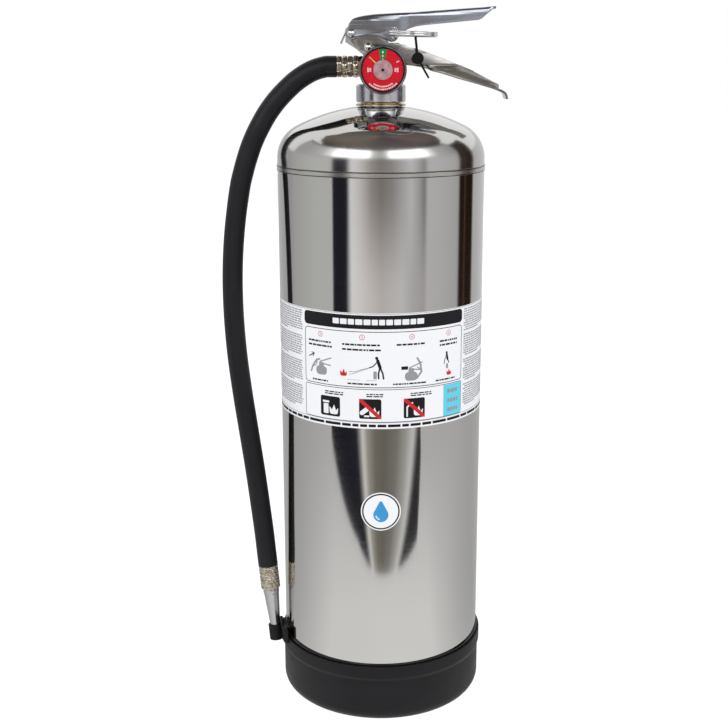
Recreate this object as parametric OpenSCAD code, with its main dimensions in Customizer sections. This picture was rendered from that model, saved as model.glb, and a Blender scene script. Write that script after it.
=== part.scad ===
// Stainless steel stored-pressure water extinguisher with squeeze lever, gauge and hose.
// Frame: origin at the centre of the boot's underside, +Z up, handles towards +X,
// gauge facing -Y. Millimetres.

/* [Cylinder] */
// Outer diameter of the cylinder
cyl_d = 177.8; // [150:0.2:215]
// Height of the seam between the body and the top head
seam_h = 480.5; // [390:0.5:600]
// Sheet thickness of the cylinder
cyl_wall = 1.2; // [0.8:0.1:2]
// Crown radius of both heads
crown_r = 160; // [140:1:200]
// Knuckle radius of both heads
knuckle_r = 30; // [24:1:36]
// Straight skirt of the top head above the seam
dome_skirt = 7.5; // [2:0.5:12]
// Width of the weld band
seam_w = 4; // [3:0.5:8]
// Height that the weld band stands proud
seam_proud = 0.5; // [0.3:0.1:1]

/* [Boot and strap] */
// Height of the boot's rim
boot_h = 55; // [50:1:80]
// Wall thickness of the boot
boot_wall = 1.7; // [1.4:0.1:3]
// Thickness of the boot's floor
boot_floor = 3; // [2:0.5:6]
// Radius of the boot's bottom corner
boot_corner = 12; // [8:1:16]
// Depth of the widened rim that takes the strap
rim_depth = 10; // [9:0.5:12]
// Thickness of the strap that carries the nozzle holder
strap_t = 1.2; // [0.8:0.1:2]
// Width of the strap
strap_w = 9; // [6:0.5:11]
// How much the strap rises from front to back, in degrees
strap_tilt = 1.8; // [0:0.1:3]

/* [Labels] */
// Height of the instruction label's lower edge
label_h = 271; // [200:1:290]
// Height of the instruction label
label_tall = 98; // [60:1:105]
// Angle that the instruction label wraps, in degrees
label_wrap = 230; // [120:1:300]
// Height of the round sticker's centre
sticker_h = 198; // [120:1:230]
// Diameter of the round sticker
sticker_d = 34; // [20:1:60]
// Thickness of the label film
film_t = 0.15; // [0.1:0.05:0.3]

/* [Neck and collar] */
// Radius of the neck's thread
neck_r = 16.5; // [15.5:0.1:17.5]
// Radius of the neck's bore
neck_bore = 12.6; // [12.4:0.1:13.5]
// Height of the neck's thread above the collar nut's lower face
neck_rise = 6.5; // [5:0.5:9]
// Outer radius of the collar nut
nut_r = 21; // [20:0.5:25]
// Height of the collar nut
nut_h = 15; // [13:0.5:18]
// Number of spanner slots in the collar nut
nut_slots = 4; // [4:1:8]

/* [Valve] */
// Half width of the valve block along X
block_x = 15; // [14:0.5:18]
// Half depth of the valve block along Y
block_y = 10; // [9.5:0.1:12]
// Height of the hose outlet above the collar nut's lower face
outlet_z = 29.5; // [28:0.5:31]
// Height of the gauge above the collar nut's lower face
gauge_z = 27; // [26:0.5:29]
// Radius of the valve stem
stem_r = 3; // [2.5:0.1:3.3]
// Depth of the wall hook's socket
hook_depth = 10; // [6:0.5:12]
// Radius of the wall hook's socket
hook_r = 4.75; // [3:0.05:5.5]

/* [Lever and handle] */
// Sheet thickness of the lever and the handle
sheet_t = 1.9; // [1.5:0.1:2]
// Angle that the lever travels, in degrees
lever_travel = 8; // [5:0.5:8]
// Radius of the rivets' shanks
rivet_r = 2.4; // [2:0.1:2.6]
// Radius of the rivets' heads
rivet_head = 3.7; // [3.2:0.1:4]

/* [Safety pin] */
// Radius of the pin
pin_r = 1.9; // [1.5:0.05:2]
// Middle radius of the split ring
ring_r = 19.4; // [16:0.2:20]
// Radius of the split ring's wire
ring_wire = 1.05; // [0.9:0.05:1.1]

/* [Gauge] */
// Outer radius of the gauge's case
gauge_r = 19.6; // [18:0.2:20]
// Depth of the gauge's case
gauge_depth = 14; // [12:0.5:16]
// Distance of the gauge's centre from the cylinder's axis, along X
gauge_x = 1.6; // [0:0.1:2]

/* [Hose] */
// Outer diameter of the hose
hose_d = 17.8; // [14:0.2:18]
// Length of the upper ferrule
ferrule_top_len = 18.6; // [15:0.2:20]
// Length of the lower ferrule
ferrule_low_len = 23; // [18:0.5:26]
// Length of the nozzle
nozzle_len = 49; // [46:0.5:52]
// Lean of the nozzle towards the cylinder, in degrees
nozzle_lean = 5.2; // [4:0.1:7]

/* [Fits] */
// Radial clearance of a running or sliding fit
fit = 0.05; // [0.02:0.01:0.08]
// Gap between parts that move past each other
gap = 0.4; // [0.3:0.05:0.6]

/* [Hidden] */
$fn = 72;
eps = 0.02;                                   // keeps bonded skins off their backing
far = 400;                                    // longer than any cut that needs it

cyl_r = cyl_d / 2;
function head_rise(r) = crown_r
    - sqrt(pow(crown_r - knuckle_r, 2) - pow(r - knuckle_r, 2));
head_h = head_rise(cyl_r);
dome_base = seam_h + dome_skirt;              // tangent line of the top head
apex = dome_base + head_h;                    // top of the top head
low_tangent = boot_floor + 1 + head_h;        // tangent line of the bottom head

// Boot and strap
boot_r = cyl_r + 0.1 + boot_wall;
rim_in = cyl_r + 0.1 + strap_t + 0.1;
rim_r = rim_in + boot_wall;
strap_top = boot_h + 1.2;                     // at the front

// Neck and collar nut: V is the collar nut's lower face
spigot_r = neck_r + 0.8;                      // neck ring below its thread
neck_seat = crown_r - sqrt(pow(crown_r, 2) - pow(spigot_r, 2));
flange_z = apex - neck_seat;                  // underside of the neck's flange
flange_t = 1.6;
V = apex + 2.4;
spigot_len = 8;
nut_lip = 3.5;                                // lip that clamps the valve down
valve_flange_h = 4.6;
barrel_r = 13;
block_z = neck_rise + valve_flange_h + 7.4;   // bottom of the block, above V
block_top = 50;
boss_top = 51.5;                              // top of the stem's guide

// Bores inside the valve
plug_r = neck_bore - 0.2;                     // valve's plug in the neck
plug_len = 9;
chamber_r = 7;
socket_r = 9;
seat_z = block_z + 5;                         // underside of the valve seat
throat_r = 5;
throat_top = outlet_z + 6;
seal_r = 6.4;
seal_t = 3;
stem_flange_t = 3;
seat_washer_t = 2;

// Lever and handle, outlines as [X, height above V]
pivot = [-24.7, 56.4];
pin_at = [9.2, 55.8];
hook_boss_r = hook_r + 2.7;
handle_low = gauge_z + hook_boss_r + 0.8;     // lower edge of the handle's ears
handle_pins = [[-10.6, 45.1], [10.6, handle_low + 4.4]];
handle_in = block_y + 0.2;                    // inner half width of the handle
handle_out = handle_in + sheet_t;
lever_in = handle_out + gap;
lever_out = lever_in + sheet_t;
grip_out = handle_out + 0.3;                  // the lever narrows in front of its ears
lug_r = 5.3;
lobe_r = 6;
pin_drop = (pin_at.x - pivot.x) * sin(lever_travel);
notch_floor = pin_at.y - pin_drop - pin_r - gap;

function norm2(v) = v / norm(v);
function arc(c, r, a0, a1, n = 8) =
    [for (i = [0 : n]) let (a = a0 + (a1 - a0) * i / n) c + r * [cos(a), sin(a)]];
// Catmull-Rom curve through the points, n steps for each span
function clampi(i, n) = max(0, min(n, i));
function spline(p, n = 4) = let (m = len(p) - 1) [
    for (i = [0 : m - 1], s = [0 : n - 1]) let (
        t = s / n, a = p[clampi(i - 1, m)], b = p[i],
        c = p[i + 1], d = p[clampi(i + 2, m)])
        0.5 * (2 * b + (c - a) * t + (2 * a - 5 * b + 4 * c - d) * t * t
            + (3 * b - a - 3 * c + d) * t * t * t),
    p[m]];
function back(p) = [for (i = [len(p) - 1 : -1 : 0]) p[i]];
// Line moved sideways by t, to the right of its direction
function beside(p, t) = [for (i = [0 : len(p) - 1]) let (
    d = norm2(p[clampi(i + 1, len(p) - 1)] - p[clampi(i - 1, len(p) - 1)]))
    p[i] + t * [d.y, -d.x]];
function band(p, t) = concat(p, back(beside(p, t)));

// Top of the lever, rear to tip
lever_top = spline([[-26.2, 63.5], [-24.4, 67], [-20.6, 69.2], [-14, 70.7],
    [-3, 72], [14, 72.8], [40.7, 74.4], [68, 76.4], [95.6, 78.3]]);
under_stem = 72.2 - sheet_t;                  // lever's underside over the stem
lever_outline = concat(
    lever_top,
    [[83.3, 67.9]],
    spline([[83.3, 67.9], [55.3, 65.3], [34, 63.2], [24.5, 60.9], [20, 58.4]]),
    arc(pin_at, lobe_r, -15, -135),
    spline([[2.6, 52.4], [-3, 54.6], [-11, 55.3], [-18.5, 54]]),
    arc(pivot, lug_r, -70, -180),
    [[-29.2, 60.5]]);
tongue = [[-26.3, 65.4], [-34.2, 48.4]];

// Handle: upper edge from the rear, lower edge from the rear
handle_upper = concat(
    arc(pivot, 4.6, 195, 75),
    [[-18, 61.4], [-4, 61.4], [2.6, 58], [pin_at.x - 3.5, 55.5],
        [pin_at.x - 3.5, notch_floor], [pin_at.x + 3.5, notch_floor],
        [pin_at.x + 3.9, 48.9]],
    spline([[17.2, 47.5], [21, 46.8], [23.6, 44.9], [27.9, 44.5], [34.2, 42.7]], 3),
    spline([[55.6, 34.9], [77, 26.2], [99, 15]], 3));
grip_line = spline([[18, 31], [27, 30], [37.6, 28], [43, 25.7], [51.4, 23.7],
    [66.5, 19], [82.6, 14.7], [95, 11]], 3);
handle_lower = concat(
    [[-29.7, 49.5], [-19.9, 43.3], [-14, 38.5], [-8, handle_low], [12, handle_low]],
    grip_line,
    [[99, 9.7]]);
hook_line = concat(grip_line, spline([[99, 9.6], [103, 7.8], [104.6, 5.6],
    [105.3, 2.7]], 3));

// Gauge
gauge_back = 24;                              // case's back, in front of the axis
gauge_front = gauge_back + gauge_depth;
case_t = 0.8;
dial_r = gauge_r - 1.4;
needle_zero = 47;                             // degrees left of upright
gauge_stem_r = 4.5;

// Pin ring
ring_gap = 1.9;                               // between the middles of its two turns
eye_r = 4.3;
eye_wire = 1.15;
eye_turn = 27;                                // how far the eye is twisted, degrees
ball_y = -lever_out - 6;                      // ball at the pin's near end
ball_r = 2.5;
eye = [pin_at.x + eye_r * sin(eye_turn), ball_y - eye_r * cos(eye_turn)];
ring_turn = 140;                              // where on the ring the eye sits, degrees
ring_mid = [eye.x - ring_r * cos(ring_turn), eye.y - ring_r * sin(ring_turn)];
ring_dip = 1.6;                               // degrees that the ring leans down
seal_y = -lever_out - 0.4;                    // back of the tamper seal

// Nozzle, its holder and its ferrule
ferrule_top_z = 119.5;
ferrule_low_r = hose_d / 2;
nozzle_r0 = 7.3;
nozzle_r1 = 3.7;
cup_bottom = 46;
cup_h = 14;
cup_y = -16;
cup_mid_z = 51;
cup_wall = 1.3;
clip_top = strap_top + 7;
nozzle_drop = (ferrule_top_z - cup_mid_z) / cos(nozzle_lean);
nozzle_tip = nozzle_drop - ferrule_low_len - nozzle_len;
cup_in = 0.25 + nozzle_r1 + (nozzle_r0 - nozzle_r1) / nozzle_len
    * ((clip_top - cup_mid_z) / cos(nozzle_lean) - nozzle_tip);
cup_r = cup_in + cup_wall;
clip_r = rim_r + 0.2;                         // inner face of the holder's clip
cup_x = -sqrt(pow(clip_r + cup_r + 0.2, 2) - pow(cup_y, 2));

// Hose: centre line from the upper ferrule to the lower one
hose_route = [[-37.6, 0, 564], [-46, 0, 564], [-58, 0, 560.5], [-70, 0, 553.5],
    [-80, 0, 545], [-89, -1, 535.5], [-97, -1, 525], [-104, -2, 513],
    [-109, -2, 503], [-113, -2, 493], [-118, -3, 477], [-122, -4, 460],
    [-127, -5, 426], [-129.5, -7, 391], [-129.5, -9, 356], [-127.5, -10, 320],
    [-123.5, -11, 283], [-118.5, -12, 246], [-113.5, -13, 209], [-109, -14, 171],
    [-106.5, -15, 149], [-104.7, -16, 130], [-103.7, -16, 119.5]];
// Curve through the route; its first and last spans are straight, in line with the ferrules
function hose_path(p, n) = let (q = spline(p, n), m = len(q) - 1)
    concat([q[0]], [for (i = [n : m - n]) q[i]], [q[m]]);
hose_sides = 12;

module along_y(at, r, y0, y1) {
    translate([at.x, y1, at.y]) rotate([90, 0, 0]) cylinder(r = r, h = y1 - y0);
}
module side_prism(pts, half) {
    translate([0, half, 0]) rotate([90, 0, 0]) linear_extrude(2 * half) polygon(pts);
}
module torus(r, wire) {
    rotate_extrude() translate([r, 0]) circle(r = wire, $fn = 24);
}
// Half section of a dished head's surface, t inside it: from its tangent line to the axis
function head_line(t) = let (
    lean = 90 - asin((cyl_r - knuckle_r) / (crown_r - knuckle_r)),
    crown = arc([0, head_h - crown_r], crown_r - t, lean, 90, 16))
    concat(arc([cyl_r - knuckle_r, 0], knuckle_r - t, 0, lean, 12),
        [for (i = [1 : 16]) crown[i]]);
module ring_band(r0, r1, z0, z1) {
    translate([0, 0, z0]) difference() {
        cylinder(r = r1, h = z1 - z0, $fn = 120);
        translate([0, 0, -1]) cylinder(r = r0, h = z1 - z0 + 2, $fn = 120);
    }
}
module ring_sector(r0, r1, z0, z1, a0, a1) {
    rotate([0, 0, a0]) rotate_extrude(angle = a1 - a0, $fn = 120)
        translate([r0, z0]) square([r1 - r0, z1 - z0]);
}

module cylinder_body() color("lightgray") rotate_extrude($fn = 120)
    polygon(concat(
        [[cyl_r, seam_h]],
        [for (p = head_line(0)) [p.x, low_tangent - p.y]],
        [for (p = back(head_line(cyl_wall))) [p.x, low_tangent - p.y]],
        [[cyl_r - cyl_wall, seam_h]]));
module cylinder_dome() color("lightgray") rotate_extrude($fn = 120) difference() {
    polygon(concat(
        [[cyl_r, seam_h]],
        [for (p = head_line(0)) [p.x, dome_base + p.y]],
        [for (p = back(head_line(cyl_wall))) [p.x, dome_base + p.y]],
        [[cyl_r - cyl_wall, seam_h]]));
    square([spigot_r + fit, 2 * far]);
}
module weld_seam() color("gray")
    ring_band(cyl_r + eps, cyl_r + seam_proud, seam_h - seam_w / 2, seam_h + seam_w / 2);

module boot() color([0.1, 0.1, 0.11]) rotate_extrude($fn = 120) {
    rim_z = boot_h - rim_depth;
    difference() {
        union() {
            translate([0, boot_corner]) square([boot_r, boot_h - boot_corner]);
            square([boot_r - boot_corner, boot_corner + 1]);
            intersection() {
                translate([boot_r - boot_corner, boot_corner]) circle(r = boot_corner);
                square([far, boot_corner + 1]);
            }
            polygon([[boot_r - 1, rim_z - 4], [boot_r, rim_z - 4], [rim_r, rim_z - 1],
                [rim_r, boot_h - 0.6], [rim_r - 0.6, boot_h], [boot_r - 1, boot_h]]);
        }
        translate([0, boot_floor]) square([boot_r - boot_corner, boot_h]);
        translate([0, boot_corner]) square([boot_r - boot_wall, boot_h]);
        intersection() {
            translate([boot_r - boot_corner, boot_corner])
                circle(r = boot_corner - boot_wall);
            translate([0, boot_floor]) square([far, boot_corner]);
        }
        translate([0, rim_z]) square([rim_in, boot_h]);
        polygon([[boot_r - boot_wall - 1, rim_z - 2], [boot_r - boot_wall, rim_z - 2],
            [rim_in, rim_z + eps], [boot_r - boot_wall - 1, rim_z + 1]]);
    }
}
module strap_slab() {
    rise = cyl_r * sin(strap_tilt);
    translate([0, 0, strap_top + rise]) rotate([strap_tilt, 0, 0])
        translate([-far / 2, -far / 2, -strap_w]) cube([far, far, strap_w]);
}
module holder_strap() color([0.06, 0.06, 0.06]) intersection() {
    ring_band(cyl_r + 0.1, cyl_r + 0.1 + strap_t, boot_h - rim_depth, boot_h + 20);
    strap_slab();
}
module nozzle_frame() {
    translate([cup_x, cup_y, cup_mid_z]) rotate([0, -nozzle_lean, 0]) children();
}
module nozzle_holder() color([0.07, 0.07, 0.07]) {
    difference() {
        union() {
            nozzle_frame() translate([0, 0, cup_bottom - cup_mid_z])
                cylinder(r = cup_r, h = cup_h);
            ring_sector(clip_r, clip_r + 2.8, cup_bottom + 4, clip_top, 184, 203);
            ring_sector(cyl_r + 0.3, clip_r + 0.5, clip_top - 2, clip_top, 186, 200);
            rotate([0, 0, 193]) translate([clip_r, -2, clip_top - 1]) cube([1.6, 4, 5]);
        }
        nozzle_frame() translate([0, 0, cup_bottom + 1.5 - cup_mid_z])
            cylinder(r = cup_in, h = far);
        cylinder(r = clip_r, h = clip_top - 2 - gap);
    }
}
module instruction_label() color("white")
    ring_sector(cyl_r + eps, cyl_r + eps + film_t, label_h, label_h + label_tall,
        270 - label_wrap / 2, 270 + label_wrap / 2);
module round_sticker() color("gold") intersection() {
    ring_band(cyl_r + eps, cyl_r + eps + film_t, sticker_h - sticker_d,
        sticker_h + sticker_d);
    along_y([0, sticker_h], sticker_d / 2, -far / 2, -1);
}

module neck_ring() color("goldenrod") difference() {
    union() {
        translate([0, 0, flange_z]) cylinder(r = nut_r + 0.3, h = flange_t);
        translate([0, 0, flange_z - spigot_len])
            cylinder(r = spigot_r, h = V - flange_z + spigot_len - 0.2);
        translate([0, 0, flange_z]) cylinder(r = neck_r, h = V + neck_rise - flange_z);
    }
    translate([0, 0, flange_z - spigot_len - 1]) cylinder(r = neck_bore, h = 60);
}
module collar_nut() color("silver") translate([0, 0, V]) difference() {
    cylinder(r = nut_r, h = nut_h);
    translate([0, 0, -1]) cylinder(r = neck_r + fit, h = nut_h - nut_lip + 1);
    cylinder(r = barrel_r + 0.15, h = nut_h + 1);
    for (i = [0 : nut_slots - 1]) rotate([0, 0, 45 + i * 360 / nut_slots])
        translate([nut_r - 2.4, -1.5, -1]) cube([10, 3, nut_h + 2]);
}
oring_wire = 1.15;
module collar_oring() color([0.1, 0.1, 0.1])
    translate([0, 0, V + 2.5]) torus(plug_r - oring_wire, oring_wire);
module valve_body() color("silver") translate([0, 0, V]) difference() {
    union() {
        translate([0, 0, neck_rise - plug_len]) cylinder(r = plug_r, h = plug_len + 1);
        translate([0, 0, neck_rise]) cylinder(r = neck_r - 0.3, h = valve_flange_h);
        translate([0, 0, neck_rise]) cylinder(r = barrel_r, h = block_z - neck_rise + 2);
        translate([-block_x, -block_y, block_z])
            cube([2 * block_x, 2 * block_y, block_top - block_z]);
        cylinder(r = stem_r + 2.6, h = boss_top);
        translate([-block_x - 2.6, 0, outlet_z]) rotate([0, 90, 0])
            cylinder(r = 8.6, h = 6);
        along_y([0, gauge_z], hook_boss_r, 0, block_y + hook_depth);
    }
    // O-ring groove and the chambers from the bottom up
    translate([0, 0, 2.5]) rotate_extrude()
        translate([plug_r - 2 * oring_wire - 0.05, -1.25]) square([10, 2.5]);
    translate([0, 0, neck_rise - plug_len - 1]) cylinder(r = socket_r, h = plug_len + 1);
    translate([0, 0, neck_rise - 1]) cylinder(r = chamber_r, h = seat_z - neck_rise + 1);
    cylinder(r = throat_r, h = throat_top);
    cylinder(r = stem_r + fit, h = 60);
    translate([0, 0, 44]) rotate_extrude()
        translate([stem_r - 1, -1.1]) square([2.9, 2.2]);
    // Outlet to the hose
    translate([-far / 2, 0, outlet_z]) rotate([0, 90, 0]) cylinder(r = 4, h = far / 2);
    translate([-block_x - 3, 0, outlet_z]) rotate([0, 90, 0])
        cylinder(r = 6 + fit, h = 7);
    // Gauge port and its drilling down to the chamber
    along_y([gauge_x, gauge_z], gauge_stem_r + fit, -block_y - 1, -block_y + 1.6);
    translate([gauge_x, -block_y + 1.6, seat_z - 3])
        cylinder(r = 1, h = gauge_z - seat_z + 3);
    // Wall hook's socket at the back
    along_y([0, gauge_z], hook_r, block_y, far);
    // Rivet holes and room for the pin when the lever is down
    for (p = handle_pins) along_y(p, rivet_r + 0.02, -far / 4, far / 4);
    translate([pin_at.x - pin_r - 0.9, -far / 2, notch_floor])
        cube([far / 4, far, far / 4]);
}

socket_bottom = V + neck_rise - plug_len;
tube_r = 7.9;
module spring_seat() color("silver")
    translate([0, 0, V + neck_rise - 1 - seat_washer_t]) difference() {
        cylinder(r = socket_r - fit, h = seat_washer_t);
        for (a = [0 : 60 : 300]) rotate([0, 0, a])
            translate([5, 0, -1]) cylinder(r = 1.2, h = seat_washer_t + 2);
        translate([0, 0, -1]) cylinder(r = 2, h = seat_washer_t + 2);
    }
module siphon_tube() color("whitesmoke") {
    top = V + neck_rise - 1 - seat_washer_t;
    low = boot_floor + 1 + cyl_wall + 8;
    difference() {
        union() {
            translate([0, 0, low]) cylinder(r = tube_r, h = top - low);
            translate([0, 0, top - 1.5]) cylinder(r = socket_r - fit, h = 1.5);
        }
        translate([0, 0, low - 1]) cylinder(r = tube_r - 1.4, h = far * 2);
        translate([0, 0, low]) rotate([0, 35, 0])
            translate([-far / 2, -far / 2, -20]) cube([far, far, 20]);
    }
}
module siphon_nut() color("goldenrod")
    ring_band(tube_r + fit, socket_r - fit, socket_bottom - 2,
        V + neck_rise - 1 - seat_washer_t - 1.5);
module overfill_tube() color("lightgray") {
    long = 96;
    ring_band(tube_r + 0.6, tube_r + 1.6, socket_bottom - 2.2 - long,
        socket_bottom - 2.2);
    ring_band(tube_r + 0.6, plug_r - 0.2, socket_bottom - 2.2, socket_bottom - 2);
}

// Spring: a wire swept along a helix
spring_z0 = neck_rise - 1;
spring_z1 = seat_z - 0.1 - seal_t - stem_flange_t;
spring_wire = 0.55;
spring_turns = 4.5;
function coil(z0, z1, r, turns, n) = [for (i = [0 : n]) let (a = 360 * turns * i / n)
    [r * cos(a), r * sin(a), z0 + (z1 - z0) * i / n]];
// Closed tube along the points p; ref is a direction that p never follows
function swept(p, r, sides, ref) = [for (i = [0 : len(p) - 1]) let (
    d = p[clampi(i + 1, len(p) - 1)] - p[clampi(i - 1, len(p) - 1)],
    u = cross(d, ref) / norm(cross(d, ref)), v = cross(u, d) / norm(d))
    for (k = [0 : sides - 1]) let (a = 360 * k / sides)
        p[i] + r * (cos(a) * u + sin(a) * v)];
function swept_faces(n, sides) = concat(
    [[for (k = [0 : sides - 1]) k]],
    [for (i = [0 : n - 2], k = [0 : sides - 1]) let (
        a = i * sides + k, b = i * sides + (k + 1) % sides)
        [a, a + sides, b + sides, b]],
    [[for (k = [sides - 1 : -1 : 0]) (n - 1) * sides + k]]);
module swept_tube(p, r, sides, ref) {
    polyhedron(swept(p, r, sides, ref), swept_faces(len(p), sides), convexity = 8);
}
module valve_spring() color("lightgray") translate([0, 0, V])
    swept_tube(coil(spring_z0 + spring_wire, spring_z1 - spring_wire,
        chamber_r - 1.6, spring_turns, 72), spring_wire, 6, [0, 0, 1]);
module valve_stem() color("goldenrod") translate([0, 0, V]) {
    flange_top = seat_z - 0.1 - seal_t;
    translate([0, 0, flange_top - stem_flange_t])
        cylinder(r = seal_r - 0.2, h = stem_flange_t);
    translate([0, 0, flange_top - stem_flange_t])
        cylinder(r = stem_r, h = under_stem - 0.3 - 1 - flange_top + stem_flange_t);
    translate([0, 0, under_stem - 1.3]) cylinder(r1 = stem_r, r2 = stem_r - 1, h = 1);
}
module stem_seal() color([0.1, 0.1, 0.1])
    ring_band(stem_r + eps, seal_r, V + seat_z - 0.1 - seal_t + eps, V + seat_z - 0.1);
module stem_oring() color([0.1, 0.1, 0.1])
    translate([0, 0, V + 44]) torus(stem_r + 0.15 + 0.85, 0.8);

module handle_hole(p, r) {
    along_y(p, r, -far / 4, far / 4);
}
module carry_handle() color("silver") translate([0, 0, V]) difference() {
    union() {
        for (s = [-1, 1]) translate([0, s * (handle_in + sheet_t / 2), 0])
            side_prism(concat(handle_upper, back(handle_lower)), sheet_t / 2);
        side_prism(band(back(hook_line), sheet_t), handle_out);
        side_prism([[-29.7, 49.5], [-19.9, 43.3], [-18.9, 44.9], [-28.7, 51.1]],
            handle_out);
    }
    handle_hole(pivot, rivet_r + 0.02);
    for (p = handle_pins) handle_hole(p, rivet_r + 0.02);
}
module rivet(at, half) {
    head = 2.2;
    translate([0, 0, V]) {
        along_y(at, rivet_r, -half, half);
        for (s = [-1, 1]) translate([at.x, s * half, at.y])
            rotate([s * -90, 0, 0]) rotate_extrude() intersection() {
                translate([0, head - (pow(rivet_head, 2) + pow(head, 2)) / (2 * head)])
                    circle(r = (pow(rivet_head, 2) + pow(head, 2)) / (2 * head));
                square([rivet_head, head]);
            }
    }
}
module handle_rivets() color("whitesmoke") for (p = handle_pins) rivet(p, handle_out);
module lever_rivet() color("whitesmoke") rivet(pivot, lever_out + 0.15);

// Plan of the lever: its ears, then the narrower grip with a rounded tip
function lever_plan(inset) = let (
    a = lever_out - inset, b = grip_out - inset, e = 14.5, f = 24, tip = 96.4)
    concat([[-40, -a], [e, -a], [f, -b]],
        inset > 0 ? [[tip + 9, -b], [tip + 9, b]]
            : concat(arc([tip - 7, -b + 7], 7, -90, 0, 6), arc([tip - 7, b - 7], 7, 0, 90, 6)),
        [[f, b], [e, a], [-40, a]]);
module lever() color("silver") translate([0, 0, V]) difference() {
    union() {
        intersection() {
            side_prism(lever_outline, lever_out + 1);
            linear_extrude(100) difference() {
                polygon(lever_plan(0));
                translate([-1, 0]) polygon(lever_plan(sheet_t));
            }
        }
        intersection() {
            side_prism(band(lever_top, sheet_t), lever_out + 1);
            linear_extrude(100) polygon(lever_plan(0));
        }
        side_prism(band(tongue, -1.2), handle_in - gap);
    }
    along_y(pivot, rivet_r + fit, -far / 4, far / 4);
    along_y(pin_at, pin_r + fit, -far / 4, far / 4);
}

module pull_pin() color("whitesmoke") translate([pin_at.x, 0, V + pin_at.y]) {
    along_y([0, 0], pin_r, ball_y, lever_out + 1.6);
    translate([0, ball_y, 0]) sphere(r = ball_r);
    translate([0, lever_out + 1.6, 0]) rotate([-90, 0, 0])
        cylinder(r1 = pin_r, r2 = pin_r - 0.7, h = 1);
    translate([eye.x - pin_at.x, eye.y, 0]) rotate([0, 0, eye_turn]) rotate([0, 90, 0])
        torus(eye_r, eye_wire);
}
module ring_frame() {
    translate([eye.x, eye.y, V + pin_at.y]) rotate([0, ring_dip, 0])
        translate([ring_mid.x - eye.x, ring_mid.y - eye.y, 0]) children();
}
module pin_ring() color("whitesmoke") ring_frame() for (s = [-1, 1])
    translate([0, 0, s * ring_gap / 2]) torus(ring_r, ring_wire);
module tamper_seal() color([0.05, 0.05, 0.05]) {
    tie_x = 28.8;
    wire_y = ring_mid.y + sqrt(pow(ring_r, 2) - pow(tie_x - ring_mid.x, 2));
    wire_z = V + pin_at.y - (tie_x - eye.x) * tan(ring_dip);
    loop_h = 4.4;
    loop_d = 2.8;
    // Tie round the ring's two wires
    difference() {
        translate([tie_x - 1, wire_y - loop_d / 2 - 0.7, wire_z - loop_h / 2 - 0.8])
            cube([2, loop_d + 1.4, loop_h + 1.6]);
        translate([tie_x - 2, wire_y - loop_d / 2, wire_z - loop_h / 2])
            cube([4, loop_d, loop_h]);
    }
    // Band down to the disc, and its tail
    disc = [30.7, V + 36.2];
    side = [tie_x, wire_z - loop_h / 2 - 0.6];
    tail = [39.7, disc.y - 15.5];
    translate([0, seal_y, 0]) rotate([90, 0, 0]) linear_extrude(1.2) {
        hull() {
            translate(side) circle(r = 1, $fn = 16);
            translate(disc) circle(r = 1, $fn = 16);
        }
        hull() {
            translate(disc) circle(r = 1, $fn = 16);
            translate(tail) circle(r = 0.8, $fn = 16);
        }
    }
    along_y(disc, 4.9, seal_y - 2.4, seal_y);
}

module gauge_axis(z) {
    translate([gauge_x, -z, V + gauge_z]) rotate([90, 0, 0]) children();
}
stem_in = 1.5;                                // gauge stem's depth in its port
module gauge_stem() color("goldenrod") difference() {
    union() {
        gauge_axis(block_y - stem_in) cylinder(r = gauge_stem_r, h = gauge_back - block_y + stem_in);
        gauge_axis(block_y + 3) rotate([0, 0, 30]) cylinder(r = 6.6, h = 6, $fn = 6);
    }
    gauge_axis(block_y - stem_in - 1) cylinder(r = 1, h = far);
}
module gauge_case() color("whitesmoke") gauge_axis(gauge_back) rotate_extrude() {
    difference() {
        union() {
            square([gauge_r - 1, gauge_depth]);
            translate([0, 1]) square([gauge_r, gauge_depth - 1.8]);
            translate([0, 1]) intersection() {
                translate([gauge_r - 1, 0]) circle(r = 1, $fn = 24);
                translate([gauge_r - 1, -1]) square([1, 1]);
            }
            intersection() {
                translate([gauge_r - 0.8, gauge_depth - 0.8]) circle(r = 0.8, $fn = 24);
                translate([gauge_r - 0.8, gauge_depth - 0.8]) square([0.8, 0.8]);
            }
        }
        translate([-1, case_t]) square([gauge_r - case_t + 1, gauge_depth - case_t - 1]);
        square([gauge_r - 1.8, gauge_depth + 1]);
    }
    difference() {
        square([gauge_r - 1, case_t]);
        square([2, 2]);
    }
}
module bourdon_tube() color("goldenrod") {
    tube_z = 5;
    gauge_axis(gauge_back + tube_z) rotate([0, 0, -60]) rotate_extrude(angle = 280)
        translate([11, 0]) square([1.4, 4], center = true);
    gauge_axis(gauge_back + case_t) difference() {
        cylinder(r = 4, h = 2);
        translate([0, 0, -1]) cylinder(r = 1, h = 4);
    }
    gauge_axis(gauge_back + case_t) rotate([0, 0, -60]) {
        translate([2.5, 0, 0.2]) cube([9.2, 2, 1.6]);
        translate([10.3, 0, 0.2]) cube([1.4, 2, 5.2]);
    }
}
dial_z = gauge_front - 3.4;
module gauge_dial() color("red") gauge_axis(dial_z) difference() {
    cylinder(r = dial_r, h = 0.5);
    translate([0, 0, -1]) cylinder(r = 0.9, h = 3);
}
module gauge_needle() color("gold") {
    gauge_axis(dial_z - 5) cylinder(r = 0.6, h = 6.2);
    gauge_axis(dial_z + 0.8) cylinder(r = 1.6, h = 0.5);
    gauge_axis(dial_z + 0.8) rotate([0, 0, needle_zero]) linear_extrude(0.4)
        polygon([[-0.9, -5], [0.9, -5], [0.9, 0], [0.25, 14.5], [-0.25, 14.5], [-0.9, 0]]);
}
module gauge_lens() color([0.9, 0.95, 1, 0.3]) gauge_axis(gauge_front - 1.75)
    cylinder(r = gauge_r - case_t - fit, h = 0.7);

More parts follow.
